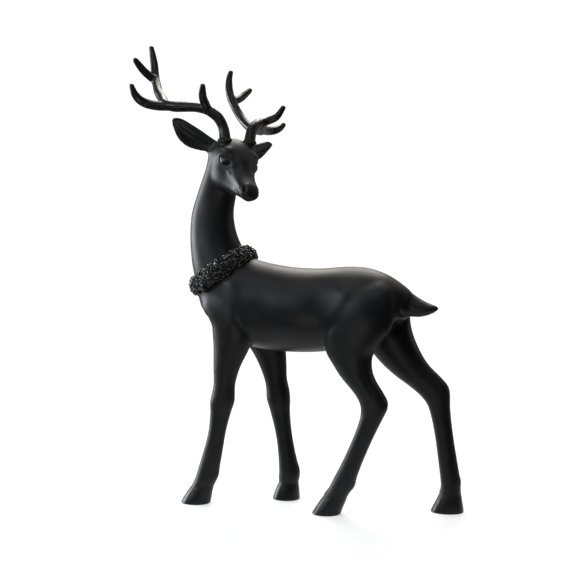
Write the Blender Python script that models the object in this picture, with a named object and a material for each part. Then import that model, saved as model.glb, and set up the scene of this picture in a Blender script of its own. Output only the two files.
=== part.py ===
"""Standing deer figurine: one satin black casting, two antlers set on its brow and a leafy wreath round its neck.

The body heads along -X with its tail towards +X, and the near side is -Y. The head turns back over the near
shoulder. The figure is drawn in units of about a millimetre, and UNIT turns them into metres.
"""

import math

import bmesh
import bpy
from mathutils import Matrix, Vector

# Driving sizes, in metres
FIGURE_HEIGHT = 0.440
WREATH_THICKNESS = 0.0190
WREATH_LEAF_RELIEF = 0.0016
FIT_GAP = 0.0003

# The drawing is this many units tall, from the ground under the soles to the tip of the highest tine
GROUND = -1.8
DRAWN_HEIGHT = 429.3
UNIT = FIGURE_HEIGHT / DRAWN_HEIGHT

# How finely the cast forms are fused, in drawing units, and how far they are faceted afterwards
CASTING_GRAIN = 1.5
ANTLER_GRAIN = 0.8
CASTING_TRIANGLES = 6100
ANTLER_TRIANGLES = 950
SECTION_SIDES = 28
SPAN_STEPS = 5

# Trunk, cut square to X: x, underside, top, half width
TRUNK = (
    (-90, 199, 210, 8),
    (-84, 187, 222, 17),
    (-72, 168, 232, 25),
    (-50, 153, 234, 32),
    (-25, 146, 227, 35),
    (5, 144.5, 223, 36.5),
    (32, 146, 223, 36),
    (56, 150, 225.5, 34.5),
    (76, 157, 225.3, 31),
    (94, 166, 220.3, 26.5),
    (108, 175, 212.5, 21),
    (118, 183, 205.5, 12),
)

# Neck, cut level: z, throat side, nape side, y, half width
NECK = (
    (176, -79, -20, 0, 22),
    (192, -84.5, -14, 0, 27.5),
    (207, -90.5, -16, 0, 28.5),
    (222, -94, -30, 0, 26.5),
    (238, -95.8, -45.5, 0, 23),
    (249, -96.4, -51.3, 0, 20.5),
    (260, -96.2, -54.3, 0, 18.5),
    (272, -94.8, -55.3, 0, 17),
    (283, -91.6, -53.6, 0, 15.8),
    (295, -87.3, -51, -0.5, 15.2),
    (306, -82.8, -48.5, -1.5, 15),
    (318, -78.2, -45, -3, 15.5),
    (330, -75, -40, -5, 15),
    (338, -68, -44, -6, 10),
)

# Legs, cut level: z, front, back, y, half width. The soles are cut flat at the ground afterwards.
NEAR_FORELEG = (
    (206, -74, -36, -14, 11),
    (190, -77.5, -28, -18, 14.5),
    (172, -71, -26, -20, 15),
    (158, -66.3, -27, -21, 14),
    (146, -65.5, -32, -21.5, 12),
    (130, -65.5, -40, -22, 10.3),
    (115, -65.3, -44.8, -22, 9.2),
    (106, -66.8, -45.5, -22, 9.4),
    (97, -69, -45.8, -22, 9.8),
    (86, -69, -49.5, -22, 8.2),
    (68, -71, -54.4, -22, 7.4),
    (50, -75.9, -57.6, -22, 7.6),
    (34, -81, -60.8, -22, 8.6),
    (22, -84.6, -63.8, -22, 9.4),
    (17, -87, -66.2, -22, 9),
    (11, -91.5, -68.2, -22, 10),
    (4, -96, -69.5, -22, 11.8),
    (-2, -99.5, -71, -22, 12.8),
    (-7, -101, -72, -22, 13),
)
FAR_FORELEG = (
    (200, -72, -36, 14, 11),
    (182, -70, -26, 18, 14),
    (160, -60, -17, 20, 14),
    (144, -47, -11.3, 22, 12),
    (130, -38.5, -10.3, 22.5, 10.3),
    (114, -31.7, -9.8, 22.5, 9.2),
    (104, -29.6, -7.5, 22.5, 9.4),
    (94, -29, -6.5, 22.5, 9.8),
    (82, -25.4, -6.7, 22.5, 8.2),
    (64, -20.8, -5, 22.5, 7.4),
    (46, -18, -1.8, 22.5, 7.6),
    (30, -16.8, 1.9, 22.5, 8.6),
    (21, -16.6, 3.2, 22.5, 9.4),
    (15, -16.5, 1.9, 22.5, 9),
    (9, -19.3, 2.6, 22.5, 10.5),
    (2, -22, 3, 22.5, 12),
    (-2, -23.2, 3.2, 22.5, 12.6),
    (-7, -24, 3.4, 22.5, 12.8),
)
NEAR_HIND_LEG = (
    (214, 72, 100, -10, 10),
    (205, 60, 108, -15, 14.5),
    (190, 51, 110, -18.5, 17),
    (174, 45, 107, -20, 17.5),
    (160, 43.5, 98, -21, 16.5),
    (149, 45.8, 90, -21.5, 14.8),
    (138, 52.7, 88.5, -22, 13),
    (127, 60.2, 91.4, -22, 11.5),
    (114, 71.8, 99.8, -22, 10),
    (106, 77, 104.3, -22, 9.3),
    (99, 79.2, 103.7, -22, 9),
    (90, 78.3, 99.3, -22, 8.6),
    (76, 73.6, 92.4, -22, 8),
    (61, 67.2, 85.6, -22, 7.8),
    (45, 59.8, 78.9, -22, 8.4),
    (32, 53, 74.1, -22, 9.4),
    (24, 49, 71.2, -22, 9.6),
    (18, 45.2, 67, -22, 9.6),
    (10, 39.5, 63.7, -22, 11),
    (3, 35, 60.6, -22, 12.2),
    (-2, 32, 59, -22, 12.8),
    (-7, 30, 58, -22, 13),
)
FAR_HIND_LEG = (
    (212, 76, 100, 10, 10),
    (200, 64, 108, 16, 15),
    (186, 60, 111, 19.5, 17),
    (170, 62, 112.5, 21.5, 17),
    (157, 68.5, 116.5, 22, 15.8),
    (144, 76.5, 123, 22.5, 14.3),
    (134, 85.5, 130, 23, 13),
    (124, 97.5, 141, 23, 11.5),
    (116, 109.5, 148.5, 23, 10.4),
    (108, 120.5, 150.3, 23, 9.8),
    (99, 128.8, 150.2, 23, 9.2),
    (87, 133, 151.2, 23, 8.4),
    (72, 136.2, 153.2, 23, 7.8),
    (57, 138.5, 155.7, 23, 7.8),
    (42, 140.6, 158.4, 23, 8.2),
    (28, 142.5, 160.6, 23, 8.8),
    (20, 142.8, 161, 23, 9.2),
    (12, 139.7, 162.3, 23, 10.4),
    (4, 135.7, 163.6, 23, 12),
    (-2, 132.8, 164.4, 23, 12.6),
    (-7, 131, 165, 23, 12.8),
)

# Tail, cut square to X: x, underside, top, half width
TAIL = (
    (96, 190, 213, 8),
    (106, 187, 211.5, 9.5),
    (116, 183.3, 206, 10),
    (126, 182.5, 199.8, 9.2),
    (134, 184, 196, 7.5),
    (140, 186.6, 194, 5.5),
    (145, 189.8, 192.4, 2.4),
)

# The head's place, its turn from the tail's heading, its lean and how far the face points down, in degrees
SKULL_CENTRE = (-50.3, -5.8, 323.9)
HEAD_TURN = -38.0
HEAD_LEAN = -14.0
FACE_DROP = 38.5

# Head along the face, from the back of the skull to the nose: forward, jaw, top, half width. It is widest at
# the level of the eyes and narrows to the jaw.
HEAD = (
    (-20, -9, 5, 7),
    (-14, -20, 12, 14.5),
    (-5, -27, 15, 19),
    (4, -30, 15, 20.5),
    (13, -28.5, 12.8, 18.5),
    (22, -23, 9.5, 13.5),
    (31, -17.5, 7.5, 10.8),
    (39, -13, 6.8, 10.0),
    (46, -10, 6.8, 10.2),
    (52, -8, 5, 9.2),
    (56, -4.8, 2, 5.5),
)
PEDICLE_RADIUS = 6.6
EYE_SPOT = (9.4, 15.6, 1.6)
EYE_RADIUS = 4.0
BROW_SPOT = (4.5, 13.5, 6.0)
BROW_RADIUS = 6.6

# Cheeks and jaw, cut the same way
JAW = (
    (-12, -24, -4, 10),
    (-4, -28.5, 0, 14.5),
    (6, -30.5, 1, 16.8),
    (15, -28, 1, 15.8),
    (24, -22.5, 0, 12.5),
    (33, -16.8, 0, 10),
    (42, -12, -1, 8.5),
    (48, -9, -2, 6),
)

# Ear, in the level head's frame: forward, outward, up; then cut across from root to tip
EAR_ROOT = (-8, 12, 4)
EAR_TIP = (-32, 56, 23.5)
EAR_FACING = (0.88, 0.15, -0.42)
EAR_THICKNESS = 4.4
# share of the length, half width, depth of the cup, how far the leaf bows down
EAR = (
    (0.0, 5.5, 0.0, 0.0),
    (0.16, 7.2, 1.5, 1.2),
    (0.32, 9.2, 4.0, 3.1),
    (0.50, 10.9, 5.0, 4.4),
    (0.68, 10.4, 4.4, 4.1),
    (0.84, 8.0, 2.8, 2.2),
    (0.95, 4.2, 1.2, 0.6),
    (1.0, 1.8, 0.3, 0.0),
)

# Antlers, in the level head's frame: backward, outward, up, how much higher the near antler runs there
# than the middle of the two, radius
BEAM = (
    (-1, 12, 6, -1.5, 5.4),
    (2, 13, 15, -1.8, 5.3),
    (6, 15, 26, -1.8, 4.8),
    (10, 19.5, 33, -0.8, 4.8),
    (14, 24.3, 36.5, -0.4, 4.8),
    (19, 29.5, 38.8, -0.2, 4.7),
    (28, 36.4, 39, 0, 4.5),
    (37, 42.8, 37.7, 0, 4.8),
    (46, 49, 36.2, 0, 4.8),
    (56, 53.5, 36.8, 0.5, 4.7),
    (68, 50.5, 39.8, 2.3, 4.4),
    (84, 48.2, 47.4, 2.0, 4.2),
    (96, 45.2, 56, 0.8, 4.1),
    (104, 44, 63, 0, 4.2),
    (109, 43.3, 69, 0.5, 3.9),
    (114, 43.3, 77, 1.0, 3.6),
    (119, 44.5, 86, 1.0, 3.0),
    (121.4, 46.2, 92.4, 1.0, 2.3),
)
BROW_TINE = (
    (17, 28, 36, 0, 4.4),
    (17.8, 32, 41, 1.0, 4.2),
    (16.5, 37, 45.5, 2.2, 3.8),
    (11, 42, 50.5, 2.1, 3.3),
    (7.5, 45, 58.2, -0.2, 2.3),
)
OUTER_TINE = (
    (50, 51.5, 36.4, -0.5, 4.4),
    (58, 59.5, 36, -1.8, 4.4),
    (64.5, 68, 36.5, -2.3, 4.3),
    (66, 76, 38.7, -2.4, 4.0),
    (67, 82, 42.8, -1.8, 3.3),
    (67.5, 86.4, 48.4, -0.9, 2.3),
)
REAR_TINE = (
    (102, 44, 61, 0, 3.9),
    (107, 54.5, 67, 0, 3.7),
    (109.5, 61, 72.5, -0.4, 3.3),
    (111.3, 66.3, 77.6, -0.7, 2.6),
)
BURR_RADIUS = 6.8

# Wreath, a ring round the foot of the neck, seen along X: its front and rear and its half width
WREATH_FRONT = (-86.5, 203.8)
WREATH_REAR = (-43.5, 231.6)
WREATH_HALF_WIDTH = 27.0
WREATH_LEAVES_ROUND = 22
WREATH_LEAVES_ACROSS = 5


def clear_scene():
    """Starts from an empty scene."""
    for thing in list(bpy.data.objects):
        bpy.data.objects.remove(thing)


def satin_black(name, colour, roughness):
    """A painted resin finish."""
    material = bpy.data.materials.new(name)
    material.use_nodes = True
    shader = material.node_tree.nodes["Principled BSDF"]
    shader.inputs["Base Color"].default_value = (*colour, 1.0)
    shader.inputs["Roughness"].default_value = roughness
    shader.inputs["Metallic"].default_value = 0.0
    return material


def flow(rows, steps=SPAN_STEPS):
    """Reads a smooth curve through rows of numbers, with steps points on each span."""
    rows = [Vector(row) for row in rows]
    found = []
    for k in range(len(rows) - 1):
        a = rows[max(k - 1, 0)]
        b, c = rows[k], rows[k + 1]
        d = rows[min(k + 2, len(rows) - 1)]
        for i in range(steps):
            t = i / steps
            found.append(
                0.5 * (2 * b + (c - a) * t + (2 * a - 5 * b + 4 * c - d) * t**2 + (3 * b - a - 3 * c + d) * t**3)
            )
    return found + [rows[-1]]


def oval(centre, arm, other_arm, sides=SECTION_SIDES):
    """A closed oval section, from its centre and its two half axes."""
    turns = (2 * math.pi * k / sides for k in range(sides))
    return [centre + arm * math.cos(turn) + other_arm * math.sin(turn) for turn in turns]


def level_cuts(rows):
    """Ovals for a limb drawn as level cuts."""
    return [
        oval(Vector(((front + back) / 2, y, z)), Vector(((back - front) / 2, 0, 0)), Vector((0, half_width, 0)))
        for z, front, back, y, half_width in flow_rows(rows)
    ]


def square_cuts(rows):
    """Ovals for a form drawn as cuts square to X."""
    return [
        oval(Vector((x, 0, (low + high) / 2)), Vector((0, half_width, 0)), Vector((0, 0, (high - low) / 2)))
        for x, low, high, half_width in flow_rows(rows)
    ]


def flow_rows(rows):
    """As flow, for rows of any length."""
    if len(rows[0]) <= 4:
        return [tuple(row) for row in flow(rows)]
    first = flow([row[:3] for row in rows])
    rest = flow([row[3:] for row in rows])
    return [(*a, *b) for a, b in zip(first, rest)]


def head_cuts(rows, sides=SECTION_SIDES):
    """Egg-shaped sections along the face, full above the level of the eyes and drawn in towards the jaw."""
    found = []
    for x, low, high, half_width in flow_rows(rows):
        ring = []
        for k in range(sides):
            c, s = math.cos(2 * math.pi * k / sides), math.sin(2 * math.pi * k / sides)
            if s < 0:
                c, s = math.copysign(abs(c) ** 1.25, c), -(abs(s) ** 1.25)
            ring.append(Vector((x, half_width * c, s * (high if s > 0 else -low))))
        found.append(ring)
    return found


def tube_cuts(points):
    """Round sections along a curved branch: each point is x, y, z, radius."""
    rows = [tuple(row) for row in flow(points, 6)]
    spots = [Vector(row[:3]) for row in rows]
    found = []
    across = None
    for k, spot in enumerate(spots):
        along = (spots[min(k + 1, len(spots) - 1)] - spots[max(k - 1, 0)]).normalized()
        across = along.orthogonal() if across is None else across - along * across.dot(along)
        across.normalize()
        radius = rows[k][3]
        found.append(oval(spot, across * radius, along.cross(across) * radius, 14))
    tip = spots[-1] + along * rows[-1][3] * 0.8
    found.append([tip + (corner - spots[-1]) * 0.45 for corner in found[-1]])
    return found


def add_skin(shape, rings):
    """Closes a stack of sections into one skin inside shape."""
    loops = [[shape.verts.new(corner) for corner in ring] for ring in rings]
    count = len(loops[0])
    for lower, upper in zip(loops, loops[1:]):
        for k in range(count):
            n = (k + 1) % count
            shape.faces.new((lower[k], lower[n], upper[n], upper[k]))
    shape.faces.new(loops[0][::-1])
    shape.faces.new(loops[-1])


def add_ball(shape, centre, radius, stretch=(1, 1, 1)):
    """A round swelling."""
    size = Matrix.Diagonal((*[radius * s for s in stretch], 1))
    bmesh.ops.create_uvsphere(shape, u_segments=20, v_segments=12, radius=1, matrix=Matrix.Translation(centre) @ size)


def placed(rings, place):
    """Sections moved by a matrix."""
    return [[place @ corner for corner in ring] for ring in rings]


def head_frame():
    """The level head's frame: +X out of the face, +Y to its left, +Z up."""
    turn = Matrix.Rotation(math.radians(HEAD_TURN), 4, "Z")
    lean = Matrix.Rotation(math.radians(HEAD_LEAN), 4, "X")
    return Matrix.Translation(SKULL_CENTRE) @ turn @ lean


def face_frame():
    """The head's frame tipped down along the face."""
    return head_frame() @ Matrix.Rotation(math.radians(FACE_DROP), 4, "Y")


def ear_rings(side):
    """Crescent sections of an ear, in the level head's frame. side is 1 on the head's left and -1 on its right."""
    root = Vector((EAR_ROOT[0], side * EAR_ROOT[1], EAR_ROOT[2]))
    tip = Vector((EAR_TIP[0], side * EAR_TIP[1], EAR_TIP[2]))
    along = (tip - root).normalized()
    facing = Vector((EAR_FACING[0], side * EAR_FACING[1], EAR_FACING[2]))
    facing = (facing - along * facing.dot(along)).normalized()
    across = along.cross(facing)
    found = []
    downward = across * (-1 if across.z > 0 else 1)
    for share, half_width, depth, bow in flow(EAR, 4):
        middle = root.lerp(tip, share) + downward * bow
        ring = []
        for back in (False, True):
            for k in range(12):
                t = -1 + 2 * k / 11
                t = -t if back else t
                wall = EAR_THICKNESS * math.sqrt(max(0.0, 1 - t**6))
                lift = -depth * (1 - t * t) - (wall if back else 0) + EAR_THICKNESS / 2
                ring.append(middle + across * half_width * t + facing * lift + across * (0.02 if back else 0))
        found.append(ring)
    return found


def antler_branch(rows, side):
    """A branch of an antler as x, y, z, radius. side is as for an ear."""
    place = head_frame()
    return [(*(place @ Vector((-back, side * out, up - side * lift))), radius) for back, out, up, lift, radius in rows]


def solid_of(name, shape, material, grain, rounds, triangles):
    """Fuses the skins in shape into one smooth solid of about so many triangles, in metres.

    Softening draws the surface in by about a fifth of the grain, which swelling gives back.
    """
    bmesh.ops.recalc_face_normals(shape, faces=shape.faces)
    bmesh.ops.scale(shape, vec=(UNIT, UNIT, UNIT), verts=shape.verts)
    mesh = bpy.data.meshes.new(name)
    shape.to_mesh(mesh)
    shape.free()
    thing = bpy.data.objects.new(name, mesh)
    bpy.context.scene.collection.objects.link(thing)
    fuse = thing.modifiers.new("Fuse", "REMESH")
    fuse.mode = "VOXEL"
    fuse.voxel_size = grain * UNIT
    soften = thing.modifiers.new("Soften", "SMOOTH")
    soften.factor = 0.5
    soften.iterations = rounds
    swell = thing.modifiers.new("Swell", "DISPLACE")
    swell.strength = 0.18 * grain * UNIT
    swell.mid_level = 0.0
    bake(thing)
    faces = sum(len(face.vertices) - 2 for face in thing.data.polygons)
    facet = thing.modifiers.new("Facet", "DECIMATE")
    facet.ratio = min(1.0, triangles / faces)
    bake(thing)
    thing.data.materials.append(material)
    return thing


def bake(thing):
    """Makes an object's modifiers part of its mesh."""
    graph = bpy.context.evaluated_depsgraph_get()
    made = bpy.data.meshes.new_from_object(thing.evaluated_get(graph))
    thing.modifiers.clear()
    thing.data = made


def cut_flat(thing, height):
    """Cuts a solid off level at a height and closes the cut."""
    shape = bmesh.new()
    shape.from_mesh(thing.data)
    everything = shape.verts[:] + shape.edges[:] + shape.faces[:]
    made = bmesh.ops.bisect_plane(
        shape, geom=everything, dist=1e-7, plane_co=(0, 0, height), plane_no=(0, 0, -1), clear_outer=True
    )
    edges = [part for part in made["geom_cut"] if isinstance(part, bmesh.types.BMEdge)]
    bmesh.ops.holes_fill(shape, edges=edges, sides=0)
    bmesh.ops.triangulate(shape, faces=shape.faces)
    shape.to_mesh(thing.data)
    shape.free()


def build_casting(material):
    """Trunk, neck, head, ears, legs and tail, cast in one."""
    shape = bmesh.new()
    add_skin(shape, square_cuts(TRUNK))
    add_skin(shape, level_cuts(NECK))
    for leg in (NEAR_FORELEG, FAR_FORELEG, NEAR_HIND_LEG, FAR_HIND_LEG):
        add_skin(shape, level_cuts(leg))
    add_skin(shape, square_cuts(TAIL))
    face = face_frame()
    add_skin(shape, placed(head_cuts(HEAD), face))
    add_skin(shape, placed(square_cuts(JAW), face))
    for side in (-1, 1):
        add_skin(shape, placed(ear_rings(side), head_frame()))
        add_ball(shape, antler_branch(BEAM[:1], side)[0][:3], PEDICLE_RADIUS)
        for spot, radius in ((EYE_SPOT, EYE_RADIUS), (BROW_SPOT, BROW_RADIUS)):
            add_ball(shape, face @ Vector((spot[0], side * spot[1], spot[2])), radius)
    casting = solid_of("deer_casting", shape, material, CASTING_GRAIN, 10, CASTING_TRIANGLES)
    cut_flat(casting, GROUND * UNIT)
    keep_largest(casting)
    return casting


def build_antler(name, side, material):
    """One antler: a beam, its burr and three tines."""
    shape = bmesh.new()
    for branch in (BEAM, BROW_TINE, OUTER_TINE, REAR_TINE):
        add_skin(shape, tube_cuts(antler_branch(branch, side)))
    add_ball(shape, antler_branch(BEAM[1:2], side)[0][:3], BURR_RADIUS, (1, 1, 0.55))
    return solid_of(name, shape, material, ANTLER_GRAIN, 4, ANTLER_TRIANGLES)


def build_wreath(material):
    """A ring of leaves, lumpy in rows, lying round the foot of the neck."""
    front, rear = (Vector((x, 0, z)) for x, z in (WREATH_FRONT, WREATH_REAR))
    centre = (front + rear) / 2
    long_arm = (rear - front) / 2
    side_arm = Vector((0, WREATH_HALF_WIDTH, 0))
    axis = long_arm.cross(side_arm).normalized()
    radius = WREATH_THICKNESS / UNIT / 2
    relief = WREATH_LEAF_RELIEF / UNIT / 2
    around, across = WREATH_LEAVES_ROUND * 3, WREATH_LEAVES_ACROSS * 3
    shape = bmesh.new()
    loops = []
    for i in range(around):
        turn = 2 * math.pi * i / around
        spot = centre + long_arm * math.cos(turn) + side_arm * math.sin(turn)
        outward = (long_arm * math.cos(turn) + side_arm * math.sin(turn)).normalized()
        loop = []
        for j in range(across):
            roll = 2 * math.pi * j / across
            lump = math.sin(WREATH_LEAVES_ROUND * turn + 2.1 * math.sin(3 * roll)) * math.sin(
                WREATH_LEAVES_ACROSS * roll + 1.7 * math.sin(5 * turn)
            )
            reach = radius - relief + relief * lump
            loop.append(shape.verts.new(spot + (outward * math.cos(roll) + axis * math.sin(roll)) * reach))
        loops.append(loop)
    for i, loop in enumerate(loops):
        after = loops[(i + 1) % around]
        for j in range(across):
            n = (j + 1) % across
            shape.faces.new((loop[j], loop[n], after[n], after[j]))
    bmesh.ops.recalc_face_normals(shape, faces=shape.faces)
    bmesh.ops.scale(shape, vec=(UNIT, UNIT, UNIT), verts=shape.verts)
    mesh = bpy.data.meshes.new("wreath")
    shape.to_mesh(mesh)
    shape.free()
    wreath = bpy.data.objects.new("wreath", mesh)
    bpy.context.scene.collection.objects.link(wreath)
    wreath.data.materials.append(material)
    return wreath


def seat_on(thing, neighbour):
    """Cuts a piece back to the neighbour it sits on, leaving the fit gap between them."""
    cutter_mesh = neighbour.data.copy()
    cutter = bpy.data.objects.new("fit_cutter", cutter_mesh)
    bpy.context.scene.collection.objects.link(cutter)
    grow = cutter.modifiers.new("Grow", "DISPLACE")
    grow.strength = FIT_GAP
    grow.mid_level = 0.0
    bake(cutter)
    cut = thing.modifiers.new("Seat", "BOOLEAN")
    cut.operation = "DIFFERENCE"
    cut.object = cutter
    bake(thing)
    bpy.data.objects.remove(cutter)


def keep_largest(thing):
    """Drops loose crumbs that a cut leaves."""
    shape = bmesh.new()
    shape.from_mesh(thing.data)
    bmesh.ops.triangulate(shape, faces=shape.faces)
    left = set(shape.verts)
    bodies = []
    while left:
        body, edge = set(), [left.pop()]
        while edge:
            vert = edge.pop()
            body.add(vert)
            for link in vert.link_edges:
                other = link.other_vert(vert)
                if other in left:
                    left.discard(other)
                    edge.append(other)
        bodies.append(body)
    bodies.sort(key=len)
    for body in bodies[:-1]:
        bmesh.ops.delete(shape, geom=list(body), context="VERTS")
    shape.to_mesh(thing.data)
    shape.free()


def stand_on_origin(things):
    """Moves everything so that the middle of its footprint box is the origin."""
    corners = [vert.co for thing in things for vert in thing.data.vertices]
    shift = Vector(
        [-(min(c[k] for c in corners) + max(c[k] for c in corners)) / 2 for k in (0, 1)] + [-min(c[2] for c in corners)]
    )
    for thing in things:
        thing.data.transform(Matrix.Translation(shift))


def shade(thing):
    """Shades a cast form smooth, with an edge only where it turns sharply."""
    thing.data.shade_smooth()
    thing.data.set_sharp_from_angle(angle=math.radians(50))


def main():
    """Builds the figurine."""
    clear_scene()
    body_finish = satin_black("satin_black", (0.018, 0.018, 0.019), 0.42)
    antler_finish = satin_black("polished_black", (0.014, 0.013, 0.013), 0.25)
    wreath_finish = satin_black("wreath_black", (0.012, 0.012, 0.011), 0.33)
    casting = build_casting(body_finish)
    pieces = [
        build_antler("antler_right", -1, antler_finish),
        build_antler("antler_left", 1, antler_finish),
        build_wreath(wreath_finish),
    ]
    for piece in pieces:
        seat_on(piece, casting)
        keep_largest(piece)
    everything = [casting, *pieces]
    stand_on_origin(everything)
    for thing in everything:
        shade(thing)


main()
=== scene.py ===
"""Standing deer figurine: a satin black casting, two polished antlers and a wreath of curled leaves.

The forms are drawn in units of about a millimetre, with the body heading along -X and the near side at -Y,
and are laid into the frame in metres at the end.
"""

import logging
import math
from dataclasses import dataclass, field
from enum import Enum
from typing import Any, Sequence, Union

import bmesh
import bpy
import numpy as np
from mathutils import Matrix, Vector

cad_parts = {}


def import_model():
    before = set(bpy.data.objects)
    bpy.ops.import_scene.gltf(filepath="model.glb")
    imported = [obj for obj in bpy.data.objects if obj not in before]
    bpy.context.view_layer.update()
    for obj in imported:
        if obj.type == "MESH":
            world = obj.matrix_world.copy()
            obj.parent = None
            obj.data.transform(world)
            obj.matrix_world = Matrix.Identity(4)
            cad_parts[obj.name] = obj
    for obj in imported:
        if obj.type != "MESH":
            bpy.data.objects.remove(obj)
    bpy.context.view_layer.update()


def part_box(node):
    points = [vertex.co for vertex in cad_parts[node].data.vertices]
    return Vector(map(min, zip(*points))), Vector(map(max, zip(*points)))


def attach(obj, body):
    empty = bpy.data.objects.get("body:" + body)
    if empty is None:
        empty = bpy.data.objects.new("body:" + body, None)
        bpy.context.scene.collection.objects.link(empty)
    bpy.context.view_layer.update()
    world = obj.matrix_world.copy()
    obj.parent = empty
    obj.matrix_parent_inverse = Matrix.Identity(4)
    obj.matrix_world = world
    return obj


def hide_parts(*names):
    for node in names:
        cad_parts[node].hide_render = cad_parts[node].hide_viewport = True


Point = tuple[float, float, float]
Rows = Sequence[Sequence[float]]
Colour = tuple[float, float, float, float]
Socket = bpy.types.NodeSocket

BODY = "root"
log = logging.getLogger("deer_figurine")


class Side(Enum):
    """The side of the head that a piece is on, as the sign of its place across the head."""

    NEAR = -1
    FAR = 1


@dataclass(frozen=True)
class Drafting:
    """How the drawing lies in the frame.

    The shift is what centres the figurine on its footprint and stands its soles on the ground.
    """

    height: float = 0.440
    drawn_height: float = 429.3
    ground: float = -1.8
    shift: Point = (1.978, -43.321, 1.8)

    @property
    def unit(self) -> float:
        """The length of one drawing unit, in metres."""
        return self.height / self.drawn_height

    def place(self, point: Point) -> Vector:
        """Where a point of the drawing lies in the frame, in metres."""
        return (Vector(point) + Vector(self.shift)) * self.unit

    def settle(self, mesh: bpy.types.Mesh) -> None:
        """Lays a mesh drawn in units into the frame."""
        mesh.transform(Matrix.Scale(self.unit, 4) @ Matrix.Translation(self.shift))


DRAFT = Drafting()


def flow(rows: Rows, steps: int) -> np.ndarray:
    """Reads a smooth curve through rows of numbers.

    Args:
        rows: What the curve passes through, one row for each station.
        steps: How many points each span between two stations gets.

    Returns:
        The rows of the curve.
    """
    table = np.asarray(rows, float)
    spans = np.arange(len(table) - 1)
    a, b, c = table[np.maximum(spans - 1, 0)], table[:-1], table[1:]
    d = table[np.minimum(spans + 2, len(table) - 1)]
    t = (np.arange(steps) / steps)[:, None, None]
    bend, swing = 2 * a - 5 * b + 4 * c - d, 3 * b - a - 3 * c + d
    curve = 0.5 * (2 * b + (c - a) * t + bend * t**2 + swing * t**3)
    return np.vstack((curve.transpose(1, 0, 2).reshape(-1, table.shape[1]), table[-1:]))


def laid(points: np.ndarray, place: Matrix) -> np.ndarray:
    """Points moved by a matrix."""
    matrix = np.array(place)
    return points @ matrix[:3, :3].T + matrix[:3, 3]


def dots(first: np.ndarray, second: np.ndarray) -> np.ndarray:
    """The dot product of each row of one array with the same row of another."""
    return np.einsum("ij,ij->i", first, second)


def eased(values: np.ndarray, start: float, run: float, low: float, high: float) -> np.ndarray:
    """Rises by one along a run from a start, held between a low and a high."""
    return np.clip((values - start) / run, low, high)


def bake(thing: bpy.types.Object) -> bpy.types.Mesh:
    """Makes the result of an object's modifiers a plain mesh, and removes the object.

    Args:
        thing: The object, with its modifiers still live.

    Returns:
        The finished mesh.
    """
    graph = bpy.context.evaluated_depsgraph_get()
    mesh = bpy.data.meshes.new_from_object(thing.evaluated_get(graph))
    thing.modifiers.clear()
    bpy.data.objects.remove(thing)
    return mesh


def stood(name: str, mesh: bpy.types.Mesh) -> bpy.types.Object:
    """Puts a mesh in the scene as an object at the origin."""
    thing = bpy.data.objects.new(name, mesh)
    bpy.context.scene.collection.objects.link(thing)
    return thing


class Skins:
    """Closed skins, gathered to be fused into one form."""

    def __init__(self) -> None:
        """Starts with nothing."""
        self.shape = bmesh.new()

    def loft(self, rings: np.ndarray) -> None:
        """Closes a stack of sections into one skin.

        Args:
            rings: Sections, corners and coordinates.
        """
        loops = [[self.shape.verts.new(corner) for corner in ring] for ring in rings]
        for lower, upper in zip(loops, loops[1:]):
            for k in range(len(lower)):
                n = (k + 1) % len(lower)
                self.shape.faces.new((lower[k], lower[n], upper[n], upper[k]))
        self.shape.faces.new(loops[0][::-1])
        self.shape.faces.new(loops[-1])

    def ball(
        self, centre: Sequence[float], radii: Sequence[float], sides: int = 32, layers: int = 18
    ) -> None:
        """Adds a round swelling, with a small flat at either pole."""
        turn = np.linspace(0, 2 * math.pi, sides, endpoint=False)
        pole = 0.49 * math.pi
        tilt = np.linspace(-pole, pole, layers)[:, None]
        level = np.cos(tilt)
        unit = np.stack((level * np.cos(turn), level * np.sin(turn), np.sin(tilt) + 0 * turn), axis=-1)
        self.loft(np.array(centre) + unit * np.array(radii))

    def fuse(self, grain: float) -> bpy.types.Mesh:
        """Fuses the skins into one closed form.

        Args:
            grain: The size of its facets, in drawing units.

        Returns:
            The fused mesh.
        """
        bmesh.ops.recalc_face_normals(self.shape, faces=self.shape.faces)
        mesh = bpy.data.meshes.new("skins")
        self.shape.to_mesh(mesh)
        self.shape.free()
        thing = stood("skins", mesh)
        remesh = thing.modifiers.new("Fuse", "REMESH")
        remesh.mode = "VOXEL"
        remesh.voxel_size = grain
        return bake(thing)


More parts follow.
